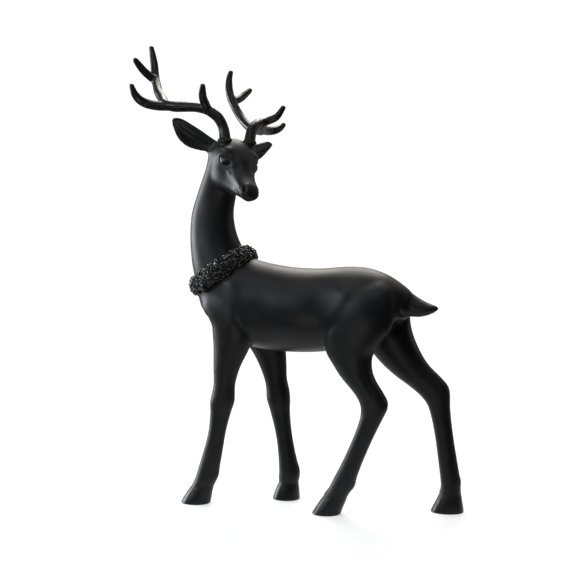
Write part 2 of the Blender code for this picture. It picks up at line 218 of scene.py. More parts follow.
class Clay:
    """A fused form while it is worked: its mesh, its points and their neighbours."""

    smooth_step: float = 0.55
    back_step: float = 0.565

    def __init__(self, mesh: bpy.types.Mesh) -> None:
        """Takes up a mesh."""
        self.take(mesh)

    def take(self, mesh: bpy.types.Mesh) -> None:
        """Reads the points of a mesh and how they join."""
        self.mesh = mesh
        flat = np.empty(len(mesh.vertices) * 3, np.float32)
        mesh.vertices.foreach_get("co", flat)
        self.points = flat.reshape(-1, 3).astype(float)
        ends = np.empty(len(mesh.edges) * 2, np.int32)
        mesh.edges.foreach_get("vertices", ends)
        ends = ends.reshape(-1, 2)
        start = np.concatenate((ends[:, 0], ends[:, 1]))
        other = np.concatenate((ends[:, 1], ends[:, 0]))
        order = np.argsort(start, kind="stable")
        self.neighbours = other[order]
        self.degree = np.bincount(start, minlength=len(self.points))
        self.starts = np.concatenate(([0], np.cumsum(self.degree)[:-1]))

    def write(self) -> bpy.types.Mesh:
        """Writes the points back to the mesh."""
        self.mesh.vertices.foreach_set("co", self.points.astype(np.float32).ravel())
        self.mesh.update()
        return self.mesh

    def normals(self) -> np.ndarray:
        """The direction in which the form faces at each point."""
        self.write()
        flat = np.empty(len(self.points) * 3, np.float32)
        self.mesh.vertices.foreach_get("normal", flat)
        return flat.reshape(-1, 3).astype(float)

    def drift(self) -> np.ndarray:
        """How far each point lies from the middle of its neighbours."""
        total = np.add.reduceat(self.points[self.neighbours], self.starts, axis=0)
        return total / self.degree[:, None] - self.points

    def relax(self, rounds: int, factor: float, share: Union[float, np.ndarray] = 1.0) -> None:
        """Smooths the form.

        Args:
            rounds: How many times.
            factor: How much of the way to its neighbours' middle a point goes each time.
            share: How much of that each point takes, from 0 to 1.
        """
        weight = np.broadcast_to(share, (len(self.points),))[:, None] * factor
        for _ in range(rounds):
            self.points = self.points + self.drift() * weight

    def blend(self, rounds: int, share: np.ndarray) -> None:
        """Softens creases and keeps the bulk: each smoothing is followed by nearly as much of its reverse.

        Args:
            rounds: How many times.
            share: How much each point takes part, from 0 to 1.
        """
        weight = share[:, None]
        for _ in range(rounds):
            self.points = self.points + self.drift() * weight * self.smooth_step
            self.points = self.points - self.drift() * weight * self.back_step

    def push(self, amount: Union[float, np.ndarray]) -> None:
        """Moves the surface out along its own normals by an amount in drawing units."""
        self.points = self.points + self.normals() * np.broadcast_to(amount, (len(self.points),))[:, None]

    def refine_where(self, chosen: np.ndarray) -> None:
        """Splits the facets whose points are chosen.

        Args:
            chosen: True for each point that takes part.
        """
        shape = bmesh.new()
        shape.from_mesh(self.write())
        shape.verts.ensure_lookup_table()
        for k in np.nonzero(chosen)[0]:
            shape.verts[k].tag = True
        edges = [edge for edge in shape.edges if edge.verts[0].tag and edge.verts[1].tag]
        bmesh.ops.subdivide_edges(shape, edges=edges, cuts=1, use_grid_fill=True)
        shape.to_mesh(self.mesh)
        shape.free()
        self.take(self.mesh)

    def thin(self, triangles: int) -> None:
        """Leaves about so many triangles, where the form needs them most."""
        faces = sum(len(face.vertices) - 2 for face in self.mesh.polygons)
        thing = stood("thinned", self.write())
        fewer = thing.modifiers.new("Thin", "DECIMATE")
        fewer.ratio = min(1.0, triangles / faces)
        self.take(bake(thing))


@dataclass(frozen=True)
class Stroke:
    """A soft ridge drawn on a form along a line, or a groove where its height is negative."""

    path: tuple[Point, ...]
    width: float
    height: float

    def lift(self, spots: np.ndarray) -> np.ndarray:
        """How far it lifts the surface at each spot."""
        nearest = np.full(len(spots), 1e9)
        for start, end in zip(np.array(self.path[:-1]), np.array(self.path[1:])):
            run = end - start
            t = np.clip((spots - start) @ run / (run @ run), 0, 1)
            nearest = np.minimum(nearest, np.linalg.norm(spots - start - t[:, None] * run, axis=1))
        return self.height * np.exp(-((nearest / self.width) ** 2))


@dataclass(frozen=True)
class Swelling:
    """A soft rounded rise, or a hollow where its height is negative."""

    centre: Point
    radii: Point
    height: float

    def lift(self, spots: np.ndarray) -> np.ndarray:
        """How far it lifts the surface at each spot."""
        away = (spots - np.array(self.centre)) / np.array(self.radii)
        return self.height * np.exp(-(away**2).sum(axis=1))


@dataclass(frozen=True)
class HeadPose:
    """Where the head is, and how far it is turned and leant and its face points down, in degrees."""

    centre: Point = (-50.3, -5.8, 323.9)
    turn: float = -38.0
    lean: float = -14.0
    face_drop: float = 38.5

    def level(self) -> Matrix:
        """The level head's frame: +X out of the face, +Y to its left, +Z up."""
        turn = Matrix.Rotation(math.radians(self.turn), 4, "Z")
        return Matrix.Translation(self.centre) @ turn @ Matrix.Rotation(math.radians(self.lean), 4, "X")

    def face(self) -> Matrix:
        """The level frame tipped down along the face."""
        return self.level() @ Matrix.Rotation(math.radians(self.face_drop), 4, "Y")


class Signal:
    """A number that changes over a surface, so that shading can be written as arithmetic."""

    def __init__(self, paint: "Paint", socket: Socket) -> None:
        """Wraps a node's output."""
        self.paint = paint
        self.socket = socket

    def join(self, operation: str, first: Any, second: Any = 0.0) -> "Signal":
        """Adds the Math node of one operation."""
        node = self.paint.node("ShaderNodeMath", {"operation": operation}, {0: first, 1: second})
        return Signal(self.paint, node.outputs[0])

    def __add__(self, other: Any) -> "Signal":
        """This plus another."""
        return self.join("ADD", self, other)

    def __sub__(self, other: Any) -> "Signal":
        """This less another."""
        return self.join("SUBTRACT", self, other)

    def __rsub__(self, other: Any) -> "Signal":
        """Another less this."""
        return self.join("SUBTRACT", other, self)

    def __mul__(self, other: Any) -> "Signal":
        """This times another."""
        return self.join("MULTIPLY", self, other)

    __radd__ = __add__
    __rmul__ = __mul__

    def ramp(self, low: float, high: float, bottom: float = 0.0, top: float = 1.0) -> "Signal":
        """Eases from bottom to top as this goes from low to high."""
        values = {"Value": self, "From Min": low, "From Max": high, "To Min": bottom, "To Max": top}
        node = self.paint.node("ShaderNodeMapRange", {"interpolation_type": "SMOOTHSTEP"}, values)
        return Signal(self.paint, node.outputs["Result"])


class Paint:
    """Nodes being laid in one material or world."""

    def __init__(self, tree: bpy.types.NodeTree) -> None:
        """Takes up a node tree."""
        self.tree = tree

    def node(self, kind: str, settings: dict[str, Any], values: dict[Any, Any]) -> bpy.types.Node:
        """Adds a node.

        Args:
            kind: The node's type.
            settings: Its own properties, set before its sockets.
            values: What each of its input sockets is set to or linked from.

        Returns:
            The node.
        """
        node = self.tree.nodes.new(kind)
        for name, setting in settings.items():
            setattr(node, name, setting)
        for socket, value in values.items():
            self.feed(node.inputs[socket], value)
        return node

    def feed(self, socket: Socket, value: Any) -> None:
        """Sets or links one input socket."""
        if isinstance(value, Signal):
            self.tree.links.new(value.socket, socket)
        elif isinstance(value, Socket):
            self.tree.links.new(value, socket)
        else:
            socket.default_value = value

    def noise(self, where: Socket, scale: float, detail: float, roughness: float = 0.5) -> Signal:
        """A cloudy pattern from about 0 to 1."""
        values = {"Vector": where, "Scale": scale, "Detail": detail, "Roughness": roughness}
        return Signal(self, self.node("ShaderNodeTexNoise", {}, values).outputs["Fac"])

    def attribute(self, name: str) -> bpy.types.Node:
        """Reads what was painted on the piece's own points."""
        settings = {"attribute_name": name, "attribute_type": "GEOMETRY"}
        return self.node("ShaderNodeAttribute", settings, {})

    def mix(self, share: Any, first: Any, second: Any) -> Socket:
        """Mixes two colours."""
        node = self.node("ShaderNodeMix", {"data_type": "RGBA"}, {0: share, 6: first, 7: second})
        return node.outputs[2]

    def bump(self, height: Signal, depth: float, strength: float, onto: Any = None) -> Socket:
        """Raises a fine relief, in metres.

        Args:
            height: The pattern, from 0 to 1.
            depth: How deep the pattern is.
            strength: How much of it shows.
            onto: The relief that this one is laid over.

        Returns:
            The normal.
        """
        values = {"Strength": strength, "Distance": depth, "Height": height}
        if onto is not None:
            values["Normal"] = onto
        return self.node("ShaderNodeBump", {}, values).outputs["Normal"]


def new_material(name: str, **fixed: float) -> tuple[bpy.types.Material, Paint, bpy.types.Node]:
    """Starts a material.

    Args:
        name: Its name.
        fixed: The shader's values that are the same all over, by socket name with _ for a space.

    Returns:
        The material, its paint and its shader.
    """
    material = bpy.data.materials.new(name)
    material.use_nodes = True
    shader = material.node_tree.nodes["Principled BSDF"]
    for socket, value in fixed.items():
        shader.inputs[socket.replace("_", " ")].default_value = value
    return material, Paint(material.node_tree), shader


@dataclass(frozen=True)
class SatinBlack:
    """Satin black paint on cast resin: a fine orange peel, faint clouds, and glossier hooves and eyes."""

    dark: Colour = (0.0058, 0.0061, 0.0072, 1.0)
    pale: Colour = (0.0092, 0.0093, 0.0102, 1.0)
    cloud_scale: float = 26.0
    speck_scale: float = 900.0
    speck_sheen: float = 0.05
    wave_scale: float = 75.0
    wave_depth: float = 0.0004
    peel_scale: float = 650.0
    peel_depth: float = 0.00006
    sheen_low: float = 0.40
    sheen_high: float = 0.47
    eye_sheen: float = 0.10
    hoof_top: float = 0.015
    hoof_sheen: float = 0.30

    def build(self) -> bpy.types.Material:
        """Makes the material."""
        material, paint, shader = new_material("satin_black_paint", IOR=1.45, Specular_IOR_Level=0.22)
        where = paint.node("ShaderNodeTexCoord", {}, {}).outputs["Object"]
        clouds = paint.noise(where, self.cloud_scale, 3.0)
        specks = paint.noise(where, self.speck_scale, 2.0)
        peel = paint.noise(where, self.peel_scale, 2.0, 0.6)
        waves = paint.noise(where, self.wave_scale, 1.0)
        eye = Signal(paint, paint.attribute("eye_gloss").outputs["Fac"])
        sheen = clouds.ramp(0.3, 0.7, self.sheen_low, self.sheen_high) + (specks - 0.5) * self.speck_sheen
        height = Signal(paint, paint.node("ShaderNodeSeparateXYZ", {}, {"Vector": where}).outputs["Z"])
        hoof = height.ramp(self.hoof_top - 0.003, self.hoof_top + 0.001, 1.0, 0.0)
        sheen = sheen * (1 - hoof) + hoof * self.hoof_sheen
        paint.feed(shader.inputs["Roughness"], sheen * (1 - eye) + eye * self.eye_sheen)
        paint.feed(shader.inputs["Base Color"], paint.mix(clouds.ramp(0.35, 0.75), self.dark, self.pale))
        relief = paint.bump(waves, self.wave_depth, 0.25)
        paint.feed(shader.inputs["Normal"], paint.bump(peel, self.peel_depth, 0.35, relief))
        return material


@dataclass(frozen=True)
class StreakedBlack:
    """Polished black paint, pulled into fine streaks along the antler."""

    dark: Colour = (0.006, 0.006, 0.0065, 1.0)
    pale: Colour = (0.019, 0.0175, 0.016, 1.0)
    streak_scale: float = 7.0
    streak_depth: float = 0.00015
    thread_scale: float = 19.0
    thread_depth: float = 0.00005
    pit_scale: float = 700.0
    pit_depth: float = 0.00002
    sheen_low: float = 0.24
    sheen_high: float = 0.36

    def build(self) -> bpy.types.Material:
        """Makes the material."""
        material, paint, shader = new_material(
            "streaked_black_paint", IOR=1.45, Specular_IOR_Level=0.17, Coat_Weight=0.05, Coat_Roughness=0.12
        )
        grain = paint.attribute("antler_grain").outputs["Vector"]
        where = paint.node("ShaderNodeTexCoord", {}, {}).outputs["Object"]
        clear = Signal(paint, paint.attribute("clear_of_fork").outputs["Fac"])
        streaks = 0.5 + (paint.noise(grain, self.streak_scale, 4.0, 0.6) - 0.5) * clear
        threads = 0.5 + (paint.noise(grain, self.thread_scale, 2.0) - 0.5) * clear
        pits = paint.noise(where, self.pit_scale, 2.0)
        paint.feed(shader.inputs["Roughness"], streaks.ramp(0.35, 0.65, self.sheen_low, self.sheen_high))
        paint.feed(shader.inputs["Base Color"], paint.mix(streaks.ramp(0.4, 0.7), self.dark, self.pale))
        relief = paint.bump(streaks, self.streak_depth, 0.12)
        relief = paint.bump(threads, self.thread_depth, 0.10, relief)
        paint.feed(shader.inputs["Normal"], paint.bump(pits, self.pit_depth, 0.12, relief))
        return material


@dataclass(frozen=True)
class LeafBlack:
    """Glossy black paint on the wreath, each leaf a little different, and a dark matt bed between them."""

    bed: Colour = (0.0035, 0.0035, 0.0035, 1.0)
    leaf_dark: Colour = (0.004, 0.004, 0.0038, 1.0)
    leaf_pale: Colour = (0.015, 0.0148, 0.0135, 1.0)
    mottle_scale: float = 420.0
    mottle_depth: float = 0.0003
    sheen_low: float = 0.16
    sheen_high: float = 0.34
    bed_sheen: float = 0.7

    def build(self) -> bpy.types.Material:
        """Makes the material."""
        material, paint, shader = new_material(
            "leaf_black_paint", IOR=1.5, Specular_IOR_Level=0.42, Coat_Weight=0.3, Coat_Roughness=0.14
        )
        where = paint.node("ShaderNodeTexCoord", {}, {}).outputs["Object"]
        leaf = Signal(paint, paint.attribute("leaf_tone").outputs["Fac"])
        mottle = paint.noise(where, self.mottle_scale, 3.0)
        raised = leaf.ramp(0.0, 0.05)
        colour = paint.mix((leaf * 0.6 + mottle * 0.4).ramp(0.2, 0.8), self.leaf_dark, self.leaf_pale)
        sheen = mottle.ramp(0.3, 0.7, self.sheen_low, self.sheen_high)
        paint.feed(shader.inputs["Base Color"], paint.mix(raised, self.bed, colour))
        paint.feed(shader.inputs["Roughness"], sheen * raised + (1 - raised) * self.bed_sheen)
        paint.feed(shader.inputs["Normal"], paint.bump(mottle, self.mottle_depth, 0.35))
        return material


def paint_points(mesh: bpy.types.Mesh, name: str, values: np.ndarray) -> None:
    """Paints a number or a vector on every point of a mesh.

    Args:
        mesh: The mesh.
        name: The attribute's name.
        values: One number or three for each point.
    """
    kind, slot = ("FLOAT", "value") if values.ndim == 1 else ("FLOAT_VECTOR", "vector")
    layer = mesh.attributes.new(name, kind, "POINT")
    layer.data.foreach_set(slot, values.astype(np.float32).ravel())


def present(thing: bpy.types.Object, finish: bpy.types.Material, nodes: Sequence[str]) -> None:
    """Gives a finished piece its finish and its place in the frame.

    Args:
        thing: The piece.
        finish: Its material.
        nodes: The solids that it stands for.
    """
    thing.data.materials.clear()
    thing.data.materials.append(finish)
    thing.data.shade_smooth()
    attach(thing, BODY)
    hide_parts(*nodes)
    triangles = sum(len(face.vertices) - 2 for face in thing.data.polygons)
    log.info("%s: %d triangles in place of %s", thing.name, triangles, ", ".join(nodes))


@dataclass
class Leg:
    """One leg, drawn as level cuts: height, front, back, place across the body and half width."""

    rows: Rows

    def rings(self, steps: int, sides: int) -> np.ndarray:
        """Its sections."""
        turn = np.linspace(0, 2 * math.pi, sides, endpoint=False)
        z, front, back, y, half_width = (column[:, None] for column in flow(self.rows, steps).T)
        x = (front + back) / 2 + (back - front) / 2 * np.cos(turn)
        return np.stack((x, y + half_width * np.sin(turn), z + 0 * turn), axis=-1)

    def at(self, height: float) -> tuple[float, float, float, float]:
        """Its front, back, place across and half width at a height."""
        table = np.array(self.rows)[::-1]
        return tuple(float(np.interp(height, table[:, 0], table[:, k])) for k in range(1, 5))


@dataclass
class CastDeer:
    """The deer without its antlers: one casting, with its forms drawn as stations in drawing units."""

    grain: float = 1.15
    swell: float = 0.27
    first_rounds: int = 17
    blend_rounds: int = 240
    most_triangles: int = 192000
    refine_from: float = 286.0
    face_from: float = 292.0
    ears_from: float = 300.0
    fine_reaches: tuple[float, float] = (15.0, 11.0)
    sole_round: float = 1.3
    sole_cuts: tuple[float, ...] = (1.3, 0.8, 0.45, 0.2, 0.05, 0.0)
    sole_reach: float = 4.0
    hoof_band: float = 15.0
    band_width: float = 1.3
    band_depth: float = 0.22
    knees: float = 95.0
    head_reach: float = 38.0
    tail_root: Point = (116.0, 0.0, 190.0)
    tail_reach: float = 14.0
    coronet: float = 18.0
    fetlock: float = 27.0
    hock: float = 121.0
    hock_steps: Point = (134.0, 124.0, 114.0)
    head: HeadPose = field(default_factory=HeadPose)
    # x, underside, top, half width
    trunk: Rows = (
        (-90, 199, 210, 8),
        (-84, 187, 222, 17),
        (-72, 168, 232, 25),
        (-50, 153, 234, 32),
        (-25, 146, 227, 35),
        (5, 144.5, 223, 36.5),
        (32, 146, 223, 36),
        (56, 150, 225.5, 34.5),
        (76, 157, 225.3, 31),
        (94, 166, 220.3, 26.5),
        (108, 175, 212.5, 21),
        (118, 183, 205.5, 12),
    )
    # height, throat side, nape side, place across, half width
    neck: Rows = (
        (176, -79, -20, 0, 22),
        (192, -84.5, -14, 0, 27.5),
        (207, -90.5, -16, 0, 28.5),
        (222, -94, -30, 0, 26.5),
        (238, -95.8, -45.5, 0, 23),
        (249, -96.4, -51.3, 0, 20.5),
        (260, -96.2, -54.3, 0, 18.5),
        (272, -94.8, -55.3, 0, 17),
        (283, -91.6, -53.6, 0, 15.8),
        (295, -87.3, -51, -0.5, 15.2),
        (306, -82.8, -48.5, -1.5, 15),
        (318, -78.2, -45, -3, 15.5),
        (330, -75, -40, -5, 15),
        (338, -68, -44, -6, 10),
    )
    # height, front, back, place across, half width
    near_foreleg: Rows = (
        (206, -74, -36, -14, 11),
        (190, -77.5, -28, -18, 14.5),
        (172, -71, -26, -20, 15),
        (158, -66.3, -27, -21, 14),
        (146, -65.5, -32, -21.5, 12),
        (130, -65.5, -40, -22, 10.3),
        (115, -65.3, -44.8, -22, 9.2),
        (106, -66.8, -45.5, -22, 9.4),
        (97, -69, -45.8, -22, 9.8),
        (86, -69, -49.5, -22, 8.2),
        (68, -71, -54.4, -22, 7.4),
        (50, -75.9, -57.6, -22, 7.6),
        (34, -81, -60.8, -22, 8.6),
        (22, -84.6, -63.8, -22, 9.4),
        (17, -87, -66.2, -22, 9),
        (11, -91.5, -68.2, -22, 10),
        (4, -96, -69.5, -22, 11.8),
        (-2, -99.5, -71, -22, 12.8),
        (-7, -101, -72, -22, 13),
    )
    far_foreleg: Rows = (
        (200, -72, -36, 14, 11),
        (182, -70, -26, 18, 14),
        (160, -60, -17, 20, 14),
        (144, -47, -11.3, 22, 12),
        (130, -38.5, -10.3, 22.5, 10.3),
        (114, -31.7, -9.8, 22.5, 9.2),
        (104, -29.6, -7.5, 22.5, 9.4),
        (94, -29, -6.5, 22.5, 9.8),
        (82, -25.4, -6.7, 22.5, 8.2),
        (64, -20.8, -5, 22.5, 7.4),
        (46, -18, -1.8, 22.5, 7.6),
        (30, -16.8, 1.9, 22.5, 8.6),
        (21, -16.6, 3.2, 22.5, 9.4),
        (15, -16.5, 1.9, 22.5, 9),
        (9, -19.3, 2.6, 22.5, 10.5),
        (2, -22, 3, 22.5, 12),
        (-2, -23.2, 3.2, 22.5, 12.6),
        (-7, -24, 3.4, 22.5, 12.8),
    )
    near_hind_leg: Rows = (
        (214, 72, 100, -10, 10),
        (205, 60, 108, -15, 14.5),
        (190, 51, 110, -18.5, 17),
        (174, 45, 107, -20, 17.5),
        (160, 43.5, 98, -21, 16.5),
        (149, 45.8, 90, -21.5, 14.8),
        (138, 52.7, 88.5, -22, 13),
        (127, 60.2, 91.4, -22, 11.5),
        (114, 71.8, 99.8, -22, 10),
        (106, 77, 104.3, -22, 9.3),
        (99, 79.2, 103.7, -22, 9),
        (90, 78.3, 99.3, -22, 8.6),
        (76, 73.6, 92.4, -22, 8),
        (61, 67.2, 85.6, -22, 7.8),
        (45, 59.8, 78.9, -22, 8.4),
        (32, 53, 74.1, -22, 9.4),
        (24, 49, 71.2, -22, 9.6),
        (18, 45.2, 67, -22, 9.6),
        (10, 39.5, 63.7, -22, 11),
        (3, 35, 60.6, -22, 12.2),
        (-2, 32, 59, -22, 12.8),
        (-7, 30, 58, -22, 13),
    )
    far_hind_leg: Rows = (
        (212, 76, 100, 10, 10),
        (200, 64, 108, 16, 15),
        (186, 60, 111, 19.5, 17),
        (170, 62, 112.5, 21.5, 17),
        (157, 68.5, 116.5, 22, 15.8),
        (144, 76.5, 123, 22.5, 14.3),
        (134, 85.5, 130, 23, 13),
        (124, 97.5, 141, 23, 11.5),
        (116, 109.5, 148.5, 23, 10.4),
        (108, 120.5, 150.3, 23, 9.8),
        (99, 128.8, 150.2, 23, 9.2),
        (87, 133, 151.2, 23, 8.4),
        (72, 136.2, 153.2, 23, 7.8),
        (57, 138.5, 155.7, 23, 7.8),
        (42, 140.6, 158.4, 23, 8.2),
        (28, 142.5, 160.6, 23, 8.8),
        (20, 142.8, 161, 23, 9.2),
        (12, 139.7, 162.3, 23, 10.4),
        (4, 135.7, 163.6, 23, 12),
        (-2, 132.8, 164.4, 23, 12.6),
        (-7, 131, 165, 23, 12.8),
    )
    # x, underside, top, half width
    tail: Rows = (
        (96, 190, 213, 8),
        (106, 187, 211.5, 9.5),
        (116, 183.3, 206, 10),
        (126, 182.5, 199.8, 9.2),
        (134, 184, 196, 7.5),
        (140, 186.6, 194, 5.5),
        (145, 189.8, 192.4, 2.4),
    )
    tail_crease: tuple[Point, ...] = ((111.5, 15, 200), (112, 16, 192), (114, 14, 186), (117, 8, 182.5))
    # forward along the face, jaw, top, half width
    skull: Rows = (
        (-20, -9, 5, 7),
        (-14, -20, 12, 14.5),
        (-5, -27, 15, 19),
        (4, -30, 15, 20.5),
        (13, -28.5, 12.8, 18.5),
        (22, -23, 9.5, 13.5),
        (31, -17.5, 7.5, 10.8),
        (39, -13, 6.8, 10.0),
        (46, -10, 6.8, 10.2),
        (52, -8, 5, 9.2),
        (56, -4.8, 2, 5.5),
    )
    jaw: Rows = (
        (-12, -24, -4, 10),
        (-4, -28.5, 0, 14.5),
        (6, -30.5, 1, 16.8),
        (15, -28, 1, 15.8),
        (24, -22.5, 0, 12.5),
        (33, -16.8, 0, 10),
        (42, -12, -1, 8.5),
        (48, -9, -2, 6),
    )
    pedicle: Point = (1.0, 12.0, 6.0)
    pedicle_radius: float = 6.6
    pedicle_lift: float = -1.5
    eye: Point = (11.6, 13.9, 2.2)
    eye_radius: float = 4.6
    eye_middle: Point = (13.5, 17.3, 3.4)
    eye_half: tuple[float, float] = (6.0, 3.9)
    eye_along: Point = (0.865, -0.485, 0.13)
    eye_upright: Point = (-0.27, -0.22, 0.937)
    eye_depth: float = 6.5
    eye_bulge: float = 1.1
    brow: Point = (4.5, 13.5, 6.0)
    brow_radius: float = 6.6
    ear_root: Point = (-8, 12, 4)
    ear_tip: Point = (-32, 56, 23.5)
    ear_facing: Point = (0.88, 0.15, -0.42)
    ear_thickness: float = 4.4
    ear_out: float = 17.0
    ear_rounds: int = 16
    ridge_spread: float = 0.35
    ridge_width: float = 1.6
    ridge_height: float = 0.7
    muzzle_middle: Point = (50.0, 3.0, -1.0)
    # share of the length, half width, depth of the cup, how far the leaf bows down
    ear: Rows = (
        (0.0, 5.5, 0.0, 0.0),
        (0.16, 7.2, 1.5, 1.2),
        (0.32, 9.2, 4.0, 3.1),
        (0.50, 10.9, 5.0, 4.4),
        (0.68, 10.4, 4.4, 4.1),
        (0.84, 8.0, 2.8, 2.2),
        (0.95, 4.2, 1.2, 0.6),
        (1.0, 1.8, 0.3, 0.0),
    )

    def legs(self) -> list[Leg]:
        """The four legs."""
        drawn = (self.near_foreleg, self.far_foreleg, self.near_hind_leg, self.far_hind_leg)
        return [Leg(rows) for rows in drawn]

    @staticmethod
    def square_rings(rows: Rows, sides: int = 48) -> np.ndarray:
        """Oval sections of a form drawn as cuts square to its length."""
        turn = np.linspace(0, 2 * math.pi, sides, endpoint=False)
        x, low, high, half_width = (column[:, None] for column in flow(rows, 8).T)
        z = (low + high) / 2 + (high - low) / 2 * np.sin(turn)
        return np.stack((x + 0 * turn, half_width * np.cos(turn), z), axis=-1)

    def skull_rings(self, sides: int = 48) -> np.ndarray:
        """Egg-shaped sections along the face, full above the eyes and drawn in towards the jaw."""
        turn = np.linspace(0, 2 * math.pi, sides, endpoint=False)
        x, low, high, half_width = (column[:, None] for column in flow(self.skull, 8).T)
        c, s = np.cos(turn), np.sin(turn)
        under = s < 0
        c = np.where(under, np.sign(c) * np.abs(c) ** 1.25, c)
        s = np.where(under, -(np.abs(s) ** 1.25), s)
        return np.stack((x + 0 * turn, half_width * c, np.where(s > 0, high, -low) * s), axis=-1)

    def ear_axes(self, side: Side) -> tuple[np.ndarray, np.ndarray, np.ndarray, np.ndarray, np.ndarray]:
        """An ear's root and tip, and its directions facing, across and bowing down."""
        mirror = np.array((1, side.value, 1))
        root, tip = np.array(self.ear_root) * mirror, np.array(self.ear_tip) * mirror
        along = (tip - root) / np.linalg.norm(tip - root)
        facing = np.array(self.ear_facing) * mirror
        facing = facing - along * (facing @ along)
        facing /= np.linalg.norm(facing)
        across = np.cross(along, facing)
        return root, tip, facing, across, -across * np.sign(across[2])

    def ear_rings(self, side: Side) -> np.ndarray:
        """Crescent sections of an ear, in the level head's frame."""
        root, tip, facing, across, downward = self.ear_axes(side)
        t = np.sin(np.linspace(-math.pi / 2, math.pi / 2, 18))[:-1]
        t = np.concatenate((t, -t))
        half_wall = self.ear_thickness / 2 * np.sqrt(np.maximum(0, 1 - np.abs(t) ** 5))
        half_wall[len(t) // 2 :] *= -1
        rings = []
        for share, half_width, depth, bow in flow(self.ear, 6):
            middle = root + (tip - root) * share + downward * bow
            lift = half_wall - depth * (1 - t * t)
            rings.append(middle + np.outer(half_width * t, across) + np.outer(lift, facing))
        return np.array(rings)

    def gather(self) -> Skins:
        """Draws every form of the casting."""
        skins = Skins()
        skins.loft(self.square_rings(self.trunk))
        for limb in (Leg(self.neck), *self.legs()):
            skins.loft(limb.rings(8, 48))
        skins.loft(self.square_rings(self.tail))
        face, level = self.head.face(), self.head.level()
        skins.loft(laid(self.skull_rings(), face))
        skins.loft(laid(self.square_rings(self.jaw), face))
        for side in Side:
            skins.loft(laid(self.ear_rings(side), level))
            x, y, z = self.pedicle
            foot = Vector((x, side.value * y, z - side.value * self.pedicle_lift))
            skins.ball(level @ foot, (self.pedicle_radius,) * 3)
            for (x, y, z), radius in ((self.eye, self.eye_radius), (self.brow, self.brow_radius)):
                skins.ball(face @ Vector((x, side.value * y, z)), (radius,) * 3)
        return skins

    def soften(self, clay: Clay) -> None:
        """Runs the legs, neck and tail softly into the trunk, and leaves the head and the feet crisp."""
        spots = clay.points
        body = eased(spots[:, 2], self.knees, 50, 0.35, 1)
        level = laid(spots, self.head.level().inverted())
        head = eased(np.linalg.norm(level, axis=1), self.head_reach, 22, 0.8, 1)
        ears = eased(spots[:, 2], self.ears_from, 20, 0, 0.5)
        tail = eased(np.linalg.norm(spots - np.array(self.tail_root), axis=1), self.tail_reach, 16, 0.3, 1)
        clay.blend(self.blend_rounds, body * np.minimum(head, 1 - ears) * tail)

    def body_relief(self) -> list[Union[Stroke, Swelling]]:
        """Muscle, bone and crease forms of the trunk and legs."""
        found: list[Union[Stroke, Swelling]] = [
            # near thigh: the hollow before it, its front edge and its muscle
            Swelling((42, -36, 190), (12, 12, 22), -2.4),
            Stroke(((66, -33, 205), (65, -36, 195), (57, -37, 180), (53, -37, 169)), 8.0, 2.0),
            Swelling((78, -33, 192), (16, 12, 24), 2.6),
            # far thigh, whose leg stands further back
            Swelling((46, 36, 190), (12, 12, 22), -2.4),
            Stroke(((70, 33, 205), (69, 36, 195), (66, 37, 178)), 8.0, 2.0),
            Swelling((80, 33, 192), (16, 12, 24), 2.6),
            # hollows behind the elbows, and the shoulders' edges
            Swelling((-15, -35, 174), (10, 12, 22), -1.8),
            Swelling((-8, 35, 170), (10, 12, 22), -1.8),
            Stroke(((-46, -29, 208), (-41, -34, 190), (-42, -33, 172)), 7.0, 1.5),
            Stroke(((-34, 32, 206), (-26, 36, 188), (-23, 36, 166)), 7.0, 1.2),
            # creases beside the root of the tail, and hollows under it
            *(
                Stroke(tuple((x, s * y, z) for x, y, z in self.tail_crease), 1.9, -1.5)
                for s in (-1, 1)
            ),
            *(Swelling((105, s * 8, 173), (8, 9, 7), -2.6) for s in (-1, 1)),
            # crease over the near foreleg, the breast and the hollow under it
            Stroke(((-73, -27, 175), (-71, -18, 171), (-68, -8, 168)), 3.0, -1.4),
            Swelling((-83, -14, 184), (12, 20, 7), 1.6),
            Swelling((-71, -24, 168), (10, 14, 7), -2.2),
            # crease behind the near thigh
            Stroke(((97, -9, 170), (92, -13, 156), (86, -17, 146)), 3.0, -1.3),
        ]
        for leg in self.legs():
            front, _, across, _ = leg.at(self.coronet)
            found.append(Swelling((front + 0.5, across, self.coronet + 0.5), (3.5, 6, 3.4), 0.55))
            _, back, across, _ = leg.at(self.fetlock)
            found.append(Swelling((back - 0.5, across, self.fetlock), (4, 5, 5.5), 0.9))
        for leg in self.legs()[2:]:
            across = leg.at(self.hock)[2]
            for s in (-1, 1):
                path = tuple((leg.at(z)[1] - 6.5, across + s * leg.at(z)[3], z) for z in self.hock_steps)
                found.append(Stroke(path, 2.4, -0.9))
        return found

    def hoof_bands(self, spots: np.ndarray) -> np.ndarray:
        """The shallow groove where each hoof meets the leg."""
        height = spots[:, 2]
        band = np.exp(-(((height - self.hoof_band) / self.band_width) ** 2))
        return -self.band_depth * band * (height < 2 * self.hoof_band)

